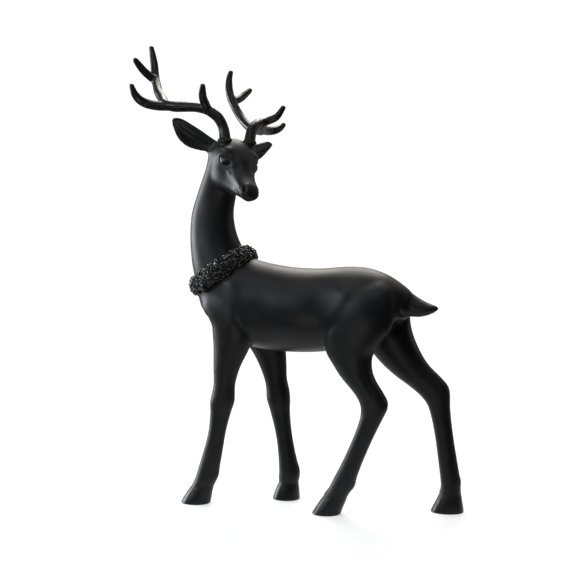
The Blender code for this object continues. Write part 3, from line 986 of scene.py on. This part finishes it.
    def face_relief(self) -> list[Union[Stroke, Swelling]]:
        """Forms of one half of the face, in the face's frame with the side taken as positive."""
        return [
            # the eye's inner corner and the groove that runs down from it
            Swelling((21.5, 11.6, 5.6), (3.0, 3.0, 2.4), 0.7),
            Stroke(((20.5, 13.0, 2.6), (23.5, 12.0, 0.8), (27.0, 11.0, -0.8)), 2.0, -0.35),
            # temple, brow and forehead
            Swelling((-3.4, 18.5, 4.1), (6.0, 5.0, 4.0), 0.9),
            Stroke(((1.0, 18.5, 8.5), (7.0, 15.8, 9.2), (12.5, 13.0, 9.0)), 2.4, 0.8),
            Swelling((18.0, 0.0, 11.5), (8.0, 8.0, 6.0), 0.9),
            # cheek, the hollow before it and the side of the nose
            Swelling((3.0, 19.0, -10.0), (9.0, 6.0, 9.0), 0.9),
            Stroke(((16.0, 16.5, -4.5), (22.0, 14.0, -6.0)), 5.0, -0.5),
            Stroke(((24.0, 11.5, -1.0), (34.0, 9.5, 0.0), (44.0, 9.0, 0.5)), 4.0, 0.7),
            # mouth, the groove above it, nostril and its rim
            Stroke(((56.0, 0.0, -4.2), (53.0, 6.0, -5.0), (48.0, 9.0, -5.8), (41.0, 9.4, -7.4)), 0.85, -0.9),
            Stroke(((56.5, 0.0, 2.2), (56.2, 0.0, -3.6)), 0.8, -0.3),
            Stroke(((48.4, 8.0, 4.2), (49.8, 7.6, 3.4), (51.4, 7.7, 2.4)), 1.35, -2.0),
            Stroke(((46.6, 5.6, 6.2), (50.4, 4.8, 5.4), (53.0, 5.2, 3.4)), 2.0, 0.55),
        ]

    def eye_relief(self, spots: np.ndarray) -> tuple[np.ndarray, np.ndarray]:
        """An almond eye between its lids, in the face's frame with the side taken as positive.

        Args:
            spots: The points.

        Returns:
            How far each point is lifted, and how much of it is eyeball.
        """
        away = spots - np.array(self.eye_middle)
        along, upright = np.array(self.eye_along), np.array(self.eye_upright)
        outward = np.cross(upright, along)
        u, v = away @ along / self.eye_half[0], away @ upright / self.eye_half[1]
        near = np.exp(-((away @ outward / self.eye_depth) ** 4))
        ring = np.sqrt(np.abs(u) ** 1.7 + np.abs(v + 0.12 * (1 - u * u)) ** 2)
        above = np.clip(0.5 + v, 0, 1)
        slit, lid, socket = (
            np.exp(-(((ring - place) / width) ** 2))
            for place, width in ((1.03, 0.14), (1.38, 0.3), (2.0, 0.45))
        )
        lift = self.eye_bulge * np.clip(1 - ring**2, 0, 1)
        lift -= 0.3 * slit
        lift += (0.05 + 0.35 * above) * lid
        lift -= 0.3 * above * socket
        return lift * near, np.clip((0.98 - ring) / 0.08, 0, 1) * near

    def ear_relief(self) -> list[Stroke]:
        """A ridge inside the cup of each ear, in the level head's frame."""
        found = []
        shares = [row[0] for row in self.ear]
        for side in Side:
            root, tip, facing, across, downward = self.ear_axes(side)
            path = []
            for share in (0.26, 0.4, 0.55, 0.7, 0.82):
                half_width, depth, bow = (
                    float(np.interp(share, shares, [row[k] for row in self.ear])) for k in (1, 2, 3)
                )
                t = self.ridge_spread * (1 - 0.5 * share)
                lift = -depth * (1 - t * t) + self.ear_thickness / 2
                middle = root + (tip - root) * share + downward * bow
                path.append(tuple(middle + across * half_width * t + facing * lift))
            found.append(Stroke(tuple(path), self.ridge_width, self.ridge_height))
        return found

    def face_spots(self, points: np.ndarray) -> np.ndarray:
        """Points in the face's frame, with both sides taken as positive."""
        spots = laid(points, self.head.face().inverted())
        spots[:, 1] = np.abs(spots[:, 1])
        return spots

    def refine_head(self, clay: Clay) -> None:
        """Gives the head finer facets than the body, and the eyes and muzzle finer ones again."""
        clay.refine_where(clay.points[:, 2] > self.refine_from)
        clay.relax(2, 0.5, (clay.points[:, 2] > self.refine_from + 2).astype(float))
        level = laid(clay.points, self.head.level().inverted())
        ears = eased(np.abs(level[:, 1]), self.ear_out, 6, 0, 1) * (clay.points[:, 2] > self.ears_from)
        clay.relax(self.ear_rounds, 0.5, ears)
        for reach in self.fine_reaches:
            spots = self.face_spots(clay.points)
            eyes = np.linalg.norm(spots - np.array(self.eye_middle), axis=1) < reach
            muzzle = np.linalg.norm(spots - np.array(self.muzzle_middle), axis=1) < reach
            clay.refine_where(eyes | muzzle)
            clay.relax(2, 0.5, (clay.points[:, 2] > self.face_from + 2).astype(float) * 0.6)

    def carve(self, clay: Clay) -> None:
        """Works the relief into the form."""
        relief = sum(mark.lift(clay.points) for mark in self.body_relief())
        clay.push(relief + self.hoof_bands(clay.points))
        spots = self.face_spots(clay.points)
        head = (clay.points[:, 2] > self.face_from).astype(float)
        clay.push(sum(mark.lift(spots) for mark in self.face_relief()) * head)
        clay.push(self.eye_relief(self.face_spots(clay.points))[0] * head)
        level = laid(clay.points, self.head.level().inverted())
        clay.push(sum(mark.lift(level) for mark in self.ear_relief()) * head)

    def stand(self, mesh: bpy.types.Mesh) -> None:
        """Cuts the feet off level on the ground, closes the soles and rounds their edges."""
        shape = bmesh.new()
        shape.from_mesh(mesh)
        ground = DRAFT.ground
        top = ground + self.sole_reach
        for height in self.sole_cuts:
            low = [face for face in shape.faces if min(vert.co.z for vert in face.verts) < top]
            edges = dict.fromkeys(edge for face in low for edge in face.edges)
            verts = dict.fromkeys(vert for face in low for vert in face.verts)
            made = bmesh.ops.bisect_plane(
                shape, geom=[*low, *edges, *verts], dist=1e-6, plane_co=(0, 0, ground + height),
                plane_no=(0, 0, -1), clear_outer=height == 0.0,
            )
        rims = [part for part in made["geom_cut"] if isinstance(part, bmesh.types.BMEdge)]
        bmesh.ops.holes_fill(shape, edges=rims, sides=0)
        soles = [vert for vert in shape.verts if vert.co.z < ground + self.sole_round]
        for vert in soles:
            leg = min(self.legs(), key=lambda one: self.off_centre(one, vert.co))
            front, back, across, half_width = leg.at(0)
            ahead = (vert.co.x - (front + back) / 2) / (back - front) ** 2 * 4
            out = Vector((ahead, (vert.co.y - across) / half_width**2, 0))
            rise = (ground + self.sole_round - vert.co.z) / self.sole_round
            vert.co -= out.normalized() * self.sole_round * (1 - math.sqrt(max(0.0, 1 - rise * rise)))
        bmesh.ops.triangulate(shape, faces=shape.faces)
        shape.to_mesh(mesh)
        shape.free()

    @staticmethod
    def off_centre(leg: Leg, spot: Vector) -> float:
        """How far a point of a foot is from the middle of a leg's foot."""
        front, back, across, _ = leg.at(0)
        return abs(spot.x - (front + back) / 2) + abs(spot.y - across)

    def build(self, finish: bpy.types.Material) -> bpy.types.Object:
        """Makes the casting.

        Args:
            finish: Its paint.

        Returns:
            The finished piece.
        """
        clay = Clay(self.gather().fuse(self.grain))
        clay.relax(self.first_rounds, 0.5)
        clay.push(self.swell)
        self.soften(clay)
        self.refine_head(clay)
        self.carve(clay)
        clay.thin(self.most_triangles)
        mesh = clay.write()
        self.stand(mesh)
        clay.take(mesh)
        eyeball = self.eye_relief(self.face_spots(clay.points))[1]
        paint_points(mesh, "eye_gloss", eyeball * (clay.points[:, 2] > self.face_from))
        DRAFT.settle(mesh)
        thing = stood("cast_deer", mesh)
        present(thing, finish, ("deer_casting",))
        return thing


@dataclass
class Antler:
    """One antler: a beam with three tines, grooved along its length, and a beaded ring at its foot.

    The rows are in the level head's frame: backward, outward, up, how much higher the near antler runs there
    than the middle of the two, radius.
    """

    side: Side
    name: str
    node: str
    head: HeadPose = field(default_factory=HeadPose)
    grain: float = 0.42
    first_rounds: int = 14
    swell: float = 0.144
    burr_radius: float = 6.8
    burr_beads: int = 11
    burr_station: int = 8
    groove_depth: float = 0.013
    groove_twist: float = 0.012
    branch_shift: float = 90.0
    # how many round the branch, share of the depth, start, sway, length of the sway, start of the sway
    grooves: Rows = ((7, 1.0, 0.0, 1.1, 11, 0), (11, 0.8, 2.0, 0.9, 7, 1), (16, 0.6, 4.0, 0.8, 5, 2))
    fork_reach: float = 0.5
    grain_stretch: float = 0.03
    burr_height: float = 2.6
    bead_depth: float = 0.32
    bead_wander: float = 0.12
    # how far past the end of a tine, how wide there, as shares of its radius
    tip: Rows = ((0.26, 0.94), (0.5, 0.74), (0.68, 0.4))
    beam: Rows = (
        (-1, 12, 6, -1.5, 5.4),
        (2, 13, 15, -1.8, 5.3),
        (6, 15, 26, -1.8, 4.8),
        (10, 19.5, 33, -0.8, 4.8),
        (14, 24.3, 36.5, -0.4, 4.8),
        (19, 29.5, 38.8, -0.2, 4.7),
        (28, 36.4, 39, 0, 4.5),
        (37, 42.8, 37.7, 0, 4.8),
        (46, 49, 36.2, 0, 4.8),
        (56, 53.5, 36.8, 0.5, 4.7),
        (68, 50.5, 39.8, 2.3, 4.4),
        (84, 48.2, 47.4, 2.0, 4.2),
        (96, 45.2, 56, 0.8, 4.1),
        (104, 44, 63, 0, 4.2),
        (109, 43.3, 69, 0.5, 3.9),
        (114, 43.3, 77, 1.0, 3.6),
        (119, 44.5, 86, 1.0, 3.0),
        (121.4, 46.2, 92.4, 1.0, 2.3),
    )
    brow_tine: Rows = (
        (17, 28, 36, 0, 4.4),
        (17.8, 32, 41, 1.0, 4.2),
        (16.5, 37, 45.5, 2.2, 3.8),
        (11, 42, 50.5, 2.1, 3.3),
        (7.5, 45, 58.2, -0.2, 2.3),
    )
    outer_tine: Rows = (
        (50, 51.5, 36.4, -0.5, 4.4),
        (58, 59.5, 36, -1.8, 4.4),
        (64.5, 68, 36.5, -2.3, 4.3),
        (66, 76, 38.7, -2.4, 4.0),
        (67, 82, 42.8, -1.8, 3.3),
        (67.5, 86.1, 48.2, -0.9, 2.3),
    )
    rear_tine: Rows = (
        (102, 44, 61, 0, 3.9),
        (107, 54.5, 67, 0, 3.7),
        (109.5, 61, 72.5, -0.4, 3.3),
        (111.0, 65.9, 77.3, -0.7, 2.55),
    )

    def branches(self) -> list[np.ndarray]:
        """The beam and the tines as x, y, z, radius along their middles, in drawing units."""
        found = []
        for rows in (self.beam, self.brow_tine, self.outer_tine, self.rear_tine):
            table = np.array(rows, float)
            sign = self.side.value
            spots = np.stack((-table[:, 0], sign * table[:, 1], table[:, 2] - sign * table[:, 3]), axis=1)
            found.append(flow(np.hstack((laid(spots, self.head.level()), table[:, 4:])), 8))
        return found

    @staticmethod
    def frames(line: np.ndarray) -> tuple[np.ndarray, np.ndarray, np.ndarray]:
        """The directions along a branch and two across it, carried along without twist."""
        spots = line[:, :3]
        along = np.gradient(spots, axis=0)
        along /= np.linalg.norm(along, axis=1)[:, None]
        across = np.empty_like(along)
        last = np.array(Vector(along[0]).orthogonal())
        for k, heading in enumerate(along):
            last = last - heading * (last @ heading)
            last = last / np.linalg.norm(last)
            across[k] = last
        return along, across, np.cross(along, across)

    def rings(self, line: np.ndarray, sides: int = 26) -> np.ndarray:
        """Round sections along a branch, closed to a blunt tip."""
        along, across, other = self.frames(line)
        turn = np.linspace(0, 2 * math.pi, sides, endpoint=False)[:, None]
        c, s = np.cos(turn), np.sin(turn)
        rings = [row[:3] + row[3] * (a * c + b * s) for row, a, b in zip(line, across, other)]
        end = line[-1]
        for reach, width in self.tip:
            rings.append(end[:3] + along[-1] * end[3] * reach + (rings[len(line) - 1] - end[:3]) * width)
        return np.array(rings)

    def groove(self, clay: Clay) -> tuple[np.ndarray, np.ndarray]:
        """Works grooves along every branch.

        Args:
            clay: The antler's form.

        Returns:
            The paint's grain, with two numbers round the branch and one along it, and how clear of a fork
            each point is.
        """
        points = len(clay.points)
        closest, runner_up = np.full(points, 1e9), np.full(points, 1e9)
        grain, depth = np.zeros((points, 3)), np.zeros(points)
        for number, line in enumerate(self.branches()):
            along, across, other = self.frames(line)
            away = np.linalg.norm(clay.points[:, None, :] - line[None, :, :3], axis=2)
            station = away.argmin(axis=1)
            offset = clay.points - line[station, :3]
            share = away[np.arange(points), station] / line[station, 3]
            angle = np.arctan2(dots(offset, other[station]), dots(offset, across[station]))
            steps = np.linalg.norm(np.diff(line[:, :3], axis=0), axis=1)
            length = np.concatenate(([0], np.cumsum(steps)))[station]
            length = length + dots(offset, along[station]) + self.branch_shift * number
            angle = angle + self.groove_twist * length
            pattern = sum(
                weight * np.cos(count * angle + phase + sway * np.sin(length / stretch + begin))
                for count, weight, phase, sway, stretch, begin in self.grooves
            )
            nearer = share < closest
            runner_up = np.where(nearer, closest, np.minimum(runner_up, share))
            closest = np.where(nearer, share, closest)
            depth = np.where(nearer, pattern * line[station, 3] * self.groove_depth, depth)
            round_and_along = np.stack((np.cos(angle), np.sin(angle), length * self.grain_stretch), axis=1)
            grain = np.where(nearer[:, None], round_and_along, grain)
        clear = np.clip((runner_up - closest) / self.fork_reach, 0, 1)
        clay.push(depth * clear)
        return grain, clear

    def bead(self, clay: Clay) -> None:
        """Works the beads of the ring at the antler's foot."""
        line = self.branches()[0]
        along, across, other = self.frames(line)
        foot = self.burr_station
        offset = clay.points - line[foot, :3]
        height = offset @ along[foot]
        angle = np.arctan2(offset @ other[foot], offset @ across[foot])
        near = np.exp(-((height / self.burr_height) ** 2))
        beads = self.bead_depth * np.cos(self.burr_beads * angle)
        clay.push(near * (beads + self.bead_wander * np.cos(17 * angle + 1.0)))

    def build(self, finish: bpy.types.Material) -> bpy.types.Object:
        """Makes the antler.

        Args:
            finish: Its paint.

        Returns:
            The finished piece.
        """
        skins = Skins()
        lines = self.branches()
        for line in (lines[0][3:], *lines[1:]):
            skins.loft(self.rings(line))
        burr = lines[0][self.burr_station, :3]
        skins.ball(burr, (self.burr_radius, self.burr_radius, self.burr_radius * 0.55))
        clay = Clay(skins.fuse(self.grain))
        clay.relax(self.first_rounds, 0.5)
        clay.push(self.swell)
        self.bead(clay)
        grain, clear = self.groove(clay)
        mesh = clay.write()
        paint_points(mesh, "antler_grain", grain)
        paint_points(mesh, "clear_of_fork", clear)
        DRAFT.settle(mesh)
        thing = stood(self.name, mesh)
        present(thing, finish, (self.node,))
        return thing


@dataclass
class CurlyWreath:
    """A ring of small curled leaves lying round the foot of the neck."""

    front: tuple[float, float] = (-86.3, 202.6)
    rear: tuple[float, float] = (-43.5, 231.6)
    half_width: float = 27.0
    bed_radius: float = 7.5
    curl_radius: float = 2.2
    strand_radius: float = 0.68
    curl_rise: float = 2.2
    spacing: float = 2.45
    seed: int = 7
    around: int = 96
    across: int = 24
    strand_sides: int = 5
    curl_points: int = 9
    most_leaves: float = 2.0
    leaf_lean: float = 0.5
    leaf_scale: tuple[float, float] = (0.8, 1.25)
    leaf_tone: tuple[float, float] = (0.15, 1.0)
    # turns, how wide the curl starts and ends, how far it rises
    leaves: Rows = ((0.8, 0.9, 1.15, 0.35), (1.15, 0.45, 1.05, 0.9), (0.55, 1.2, 0.9, 0.6))

    def bed(self) -> bpy.types.Mesh:
        """The ring that the leaves stand on."""
        front, rear = (np.array((x, 0, z)) for x, z in (self.front, self.rear))
        centre, long_arm = (front + rear) / 2, (rear - front) / 2
        side_arm = np.array((0, self.half_width, 0))
        axis = np.cross(long_arm, side_arm)
        axis /= np.linalg.norm(axis)
        turn = np.linspace(0, 2 * math.pi, self.around, endpoint=False)[:, None]
        out = long_arm * np.cos(turn) + side_arm * np.sin(turn)
        unit_out = out / np.linalg.norm(out, axis=1)[:, None]
        roll = np.linspace(0, 2 * math.pi, self.across, endpoint=False)[None, :, None]
        reach = self.bed_radius * (unit_out[:, None] * np.cos(roll) + axis * np.sin(roll))
        points = (centre + out[:, None] + reach).reshape(-1, 3)
        faces = []
        for i in range(self.around):
            for j in range(self.across):
                n, m = (i + 1) % self.around, (j + 1) % self.across
                faces.append(tuple(a * self.across + b for a, b in ((i, j), (i, m), (n, m), (n, j))))
        mesh = bpy.data.meshes.new("wreath_bed")
        mesh.from_pydata(points.tolist(), [], faces)
        shape = bmesh.new()
        shape.from_mesh(mesh)
        bmesh.ops.recalc_face_normals(shape, faces=shape.faces)
        shape.to_mesh(mesh)
        shape.free()
        return mesh

    def sizes(self) -> dict[str, Any]:
        """The named inputs of the leaves' tree."""
        return {
            "Leaf Spacing": self.spacing,
            "Curl Radius": self.curl_radius,
            "Strand Radius": self.strand_radius,
            "Curl Rise": self.curl_rise,
            "Seed": self.seed,
        }

    def tree(self, finish: bpy.types.Material) -> bpy.types.NodeTree:
        """Builds the tree that scatters curled leaves over the bed.

        Args:
            finish: The material of leaves and bed.

        Returns:
            The node tree.
        """
        tree = bpy.data.node_groups.new("curled_leaves", "GeometryNodeTree")
        tree.interface.new_socket("Geometry", in_out="INPUT", socket_type="NodeSocketGeometry")
        for name, value in self.sizes().items():
            kind = "NodeSocketInt" if isinstance(value, int) else "NodeSocketFloat"
            tree.interface.new_socket(name, in_out="INPUT", socket_type=kind)
        tree.interface.new_socket("Geometry", in_out="OUTPUT", socket_type="NodeSocketGeometry")
        paint = Paint(tree)
        size = paint.node("NodeGroupInput", {}, {}).outputs
        curl = Signal(paint, size["Curl Radius"])
        strand = Signal(paint, size["Strand Radius"])
        rise = Signal(paint, size["Curl Rise"])
        section = paint.node("GeometryNodeCurvePrimitiveCircle", {}, {
            "Resolution": self.strand_sides, "Radius": strand,
        })
        leaves = []
        for turns, start, end, lift in self.leaves:
            spiral = paint.node("GeometryNodeCurveSpiral", {}, {
                "Resolution": self.curl_points, "Rotations": turns, "Start Radius": curl * start,
                "End Radius": curl * end, "Height": rise * lift,
            })
            strip = paint.node("GeometryNodeCurveToMesh", {}, {
                "Curve": spiral.outputs[0], "Profile Curve": section.outputs[0], "Fill Caps": True,
            })
            lean = paint.node("GeometryNodeTransform", {}, {
                "Geometry": strip.outputs[0], "Rotation": (1.15 - lift, 0.3, 0.0),
            })
            leaves.append(lean.outputs[0])
        kinds = paint.node("GeometryNodeGeometryToInstance", {}, {})
        for leaf in leaves:
            tree.links.new(leaf, kinds.inputs[0])
        scatter = paint.node("GeometryNodeDistributePointsOnFaces", {"distribute_method": "POISSON"}, {
            "Mesh": size["Geometry"], "Distance Min": size["Leaf Spacing"],
            "Density Max": self.most_leaves, "Seed": size["Seed"],
        })
        spin = paint.node("FunctionNodeRandomValue", {"data_type": "FLOAT_VECTOR"}, {
            0: (-self.leaf_lean, -self.leaf_lean, 0.0), 1: (self.leaf_lean, self.leaf_lean, 2 * math.pi),
            "Seed": size["Seed"],
        })
        turned = paint.node("FunctionNodeRotateRotation", {"rotation_space": "LOCAL"}, {
            0: scatter.outputs["Rotation"], 1: spin.outputs[0],
        })
        stretch = paint.node("FunctionNodeRandomValue", {"data_type": "FLOAT"}, {
            2: self.leaf_scale[0], 3: self.leaf_scale[1], "Seed": self.seed + 1,
        })
        placed = paint.node("GeometryNodeInstanceOnPoints", {}, {
            "Points": scatter.outputs["Points"], "Instance": kinds.outputs[0], "Pick Instance": True,
            "Rotation": turned.outputs[0], "Scale": stretch.outputs[1],
        })
        tone = paint.node("FunctionNodeRandomValue", {"data_type": "FLOAT"}, {
            2: self.leaf_tone[0], 3: self.leaf_tone[1], "Seed": self.seed + 2,
        })
        toned = paint.node("GeometryNodeStoreNamedAttribute", {"data_type": "FLOAT", "domain": "INSTANCE"}, {
            "Geometry": placed.outputs[0], "Name": "leaf_tone", "Value": tone.outputs[1],
        })
        real = paint.node("GeometryNodeRealizeInstances", {}, {0: toned.outputs[0]})
        both = paint.node("GeometryNodeJoinGeometry", {}, {})
        tree.links.new(real.outputs[0], both.inputs[0])
        tree.links.new(size["Geometry"], both.inputs[0])
        dressed = paint.node("GeometryNodeSetMaterial", {}, {
            "Geometry": both.outputs[0], "Material": finish,
        })
        paint.node("NodeGroupOutput", {}, {0: dressed.outputs[0]})
        return tree

    def build(self, finish: bpy.types.Material) -> bpy.types.Object:
        """Makes the wreath.

        Args:
            finish: Its paint.

        Returns:
            The finished piece.
        """
        ring = stood("wreath_bed", self.bed())
        leaves = ring.modifiers.new("Leaves", "NODES")
        leaves.node_group = self.tree(finish)
        for socket in leaves.node_group.interface.items_tree:
            if socket.in_out == "INPUT" and socket.name in self.sizes():
                leaves[socket.identifier] = self.sizes()[socket.name]
        mesh = bake(ring)
        DRAFT.settle(mesh)
        thing = stood("curly_wreath", mesh)
        present(thing, finish, ("wreath",))
        return thing


@dataclass(frozen=True)
class Softbox:
    """A soft studio light: where it hangs and what it faces in metres, its size, its power and its tint."""

    name: str
    place: Point
    aim: Point
    size: tuple[float, float]
    power: float
    tint: Point

    def hang(self) -> None:
        """Puts the light in the scene."""
        lamp = bpy.data.lights.new(self.name, "AREA")
        lamp.shape = "RECTANGLE"
        lamp.size, lamp.size_y = self.size
        lamp.energy = self.power
        lamp.color = self.tint
        thing = bpy.data.objects.new(self.name, lamp)
        thing.location = self.place
        thing.visible_camera = False
        thing.rotation_euler = (Vector(self.aim) - Vector(self.place)).to_track_quat("-Z", "Y").to_euler()
        bpy.context.scene.collection.objects.link(thing)


@dataclass
class Studio:
    """A pale floor, a white surround that is darker behind the camera, soft lights and the camera."""

    azimuth: float = 20.0
    elevation: float = 7.0
    distance: float = 1800.0
    aim: Point = (0.0, 0.0, 203.7)
    frame_width: float = 535.68
    floor_radius: float = 0.29
    floor_shift: Point = (0.02, 0.03, -0.0001)
    floor_tone: float = 0.42
    floor_glow: float = 0.57
    surround_edges: tuple[float, float] = (-0.3, 0.85)
    surround_glow: tuple[float, float] = (0.02, 0.32)
    surround_seen: float = 1.1
    softboxes: tuple[Softbox, ...] = (
        Softbox("back_softbox", (-0.34, 1.22, 1.66), (0.0, 0.0, 0.25), (1.05, 1.5), 41.0, (1.0, 0.95, 0.89)),
        Softbox("left_softbox", (-1.5, 0.12, 0.36), (0.0, 0.0, 0.25), (0.7, 0.85), 25.0, (0.90, 0.95, 1.0)),
        Softbox("side_softbox", (-1.15, -0.85, 0.85), (0.0, 0.0, 0.22), (0.6, 0.6), 10.0, (0.90, 0.95, 1.0)),
        Softbox("right_softbox", (1.3, 0.8, 0.6), (0.0, 0.0, 0.25), (0.5, 0.9), 2.5, (1.0, 0.92, 0.82)),
        Softbox("front_softbox", (-0.9, -1.6, 1.0), (0.0, 0.0, 0.2), (1.2, 0.8), 7.0, (0.92, 0.96, 1.0)),
        Softbox("low_softbox", (0.10, -0.70, 0.002), (0.10, -0.70, 1.0), (0.4, 0.3), 2.2, (1.0, 0.97, 0.93)),
        Softbox("top_softbox", (0.0, -0.8, 1.7), (0.0, 0.0, 0.2), (1.8, 1.2), 11.0, (0.97, 0.98, 1.0)),
    )

    def heading(self) -> Vector:
        """The direction in which the camera looks."""
        azimuth, elevation = math.radians(self.azimuth), math.radians(self.elevation)
        level = math.cos(elevation)
        return Vector((-math.sin(azimuth) * level, math.cos(azimuth) * level, -math.sin(elevation)))

    def set_camera(self) -> None:
        """Stands the camera where the photograph was taken from."""
        data = bpy.data.cameras.new("camera")
        data.sensor_width = 36.0
        data.lens = data.sensor_width * self.distance / self.frame_width
        camera = bpy.data.objects.new("camera", data)
        camera.location = DRAFT.place(self.aim) - self.heading() * self.distance * DRAFT.unit
        camera.rotation_euler = self.heading().to_track_quat("-Z", "Y").to_euler()
        bpy.context.scene.collection.objects.link(camera)
        bpy.context.scene.camera = camera

    def lay_floor(self) -> None:
        """Lays the floor."""
        shape = bmesh.new()
        bmesh.ops.create_circle(shape, cap_ends=True, segments=96, radius=self.floor_radius)
        bmesh.ops.translate(shape, vec=self.floor_shift, verts=shape.verts)
        mesh = bpy.data.meshes.new("floor")
        shape.to_mesh(mesh)
        shape.free()
        floor = stood("floor", mesh)
        material, _, shader = new_material("floor_white", Roughness=0.9, Emission_Strength=self.floor_glow)
        shader.inputs["Base Color"].default_value = (self.floor_tone,) * 3 + (1.0,)
        shader.inputs["Emission Color"].default_value = (1.0, 1.0, 1.0, 1.0)
        mesh.materials.append(material)

    def light_surround(self) -> None:
        """Paints the surround: white to look at, and casting its light mostly from beyond the figure."""
        world = bpy.data.worlds.new("studio_surround")
        bpy.context.scene.world = world
        world.use_nodes = True
        world.node_tree.nodes.clear()
        paint = Paint(world.node_tree)
        where = paint.node("ShaderNodeTexCoord", {}, {}).outputs["Generated"]
        ahead = self.heading()
        facing = paint.node("ShaderNodeVectorMath", {"operation": "DOT_PRODUCT"}, {
            0: where, 1: (ahead.x, ahead.y, 0.0),
        })
        beyond = Signal(paint, facing.outputs["Value"]).ramp(*self.surround_edges, *self.surround_glow)
        glow, seen = (
            paint.node("ShaderNodeBackground", {}, {"Color": (1.0, 1.0, 1.0, 1.0), "Strength": strength})
            for strength in (beyond, self.surround_seen)
        )
        ray = paint.node("ShaderNodeLightPath", {}, {})
        both = paint.node("ShaderNodeMixShader", {}, {
            0: ray.outputs["Is Camera Ray"], 1: glow.outputs[0], 2: seen.outputs[0],
        })
        paint.node("ShaderNodeOutputWorld", {}, {"Surface": both.outputs[0]})

    def build(self) -> None:
        """Sets up everything round the figurine."""
        bpy.context.scene.view_settings.view_transform = "Standard"
        self.set_camera()
        self.lay_floor()
        self.light_surround()
        for softbox in self.softboxes:
            softbox.hang()


def check_place(thing: bpy.types.Object, node: str) -> None:
    """Reports how far a piece's box is from that of the solid it stands for."""
    low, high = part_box(node)
    corners = np.array([corner[:] for corner in thing.bound_box])
    below, over = np.abs(corners.min(axis=0) - low), np.abs(corners.max(axis=0) - high)
    apart = np.maximum(below, over) * 1000
    log.info("%s: its box is within %.2f, %.2f and %.2f mm of %s", thing.name, *apart, node)


def main() -> None:
    """Builds the figurine and its studio."""
    logging.basicConfig(level=logging.INFO, format="%(message)s")
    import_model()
    check_place(CastDeer().build(SatinBlack().build()), "deer_casting")
    streaked = StreakedBlack().build()
    antlers = ((Side.NEAR, "near_antler", "antler_right"), (Side.FAR, "far_antler", "antler_left"))
    for side, name, node in antlers:
        check_place(Antler(side, name, node).build(streaked), node)
    check_place(CurlyWreath().build(LeafBlack().build()), "wreath")
    Studio().build()


if __name__ == "__main__":
    main()
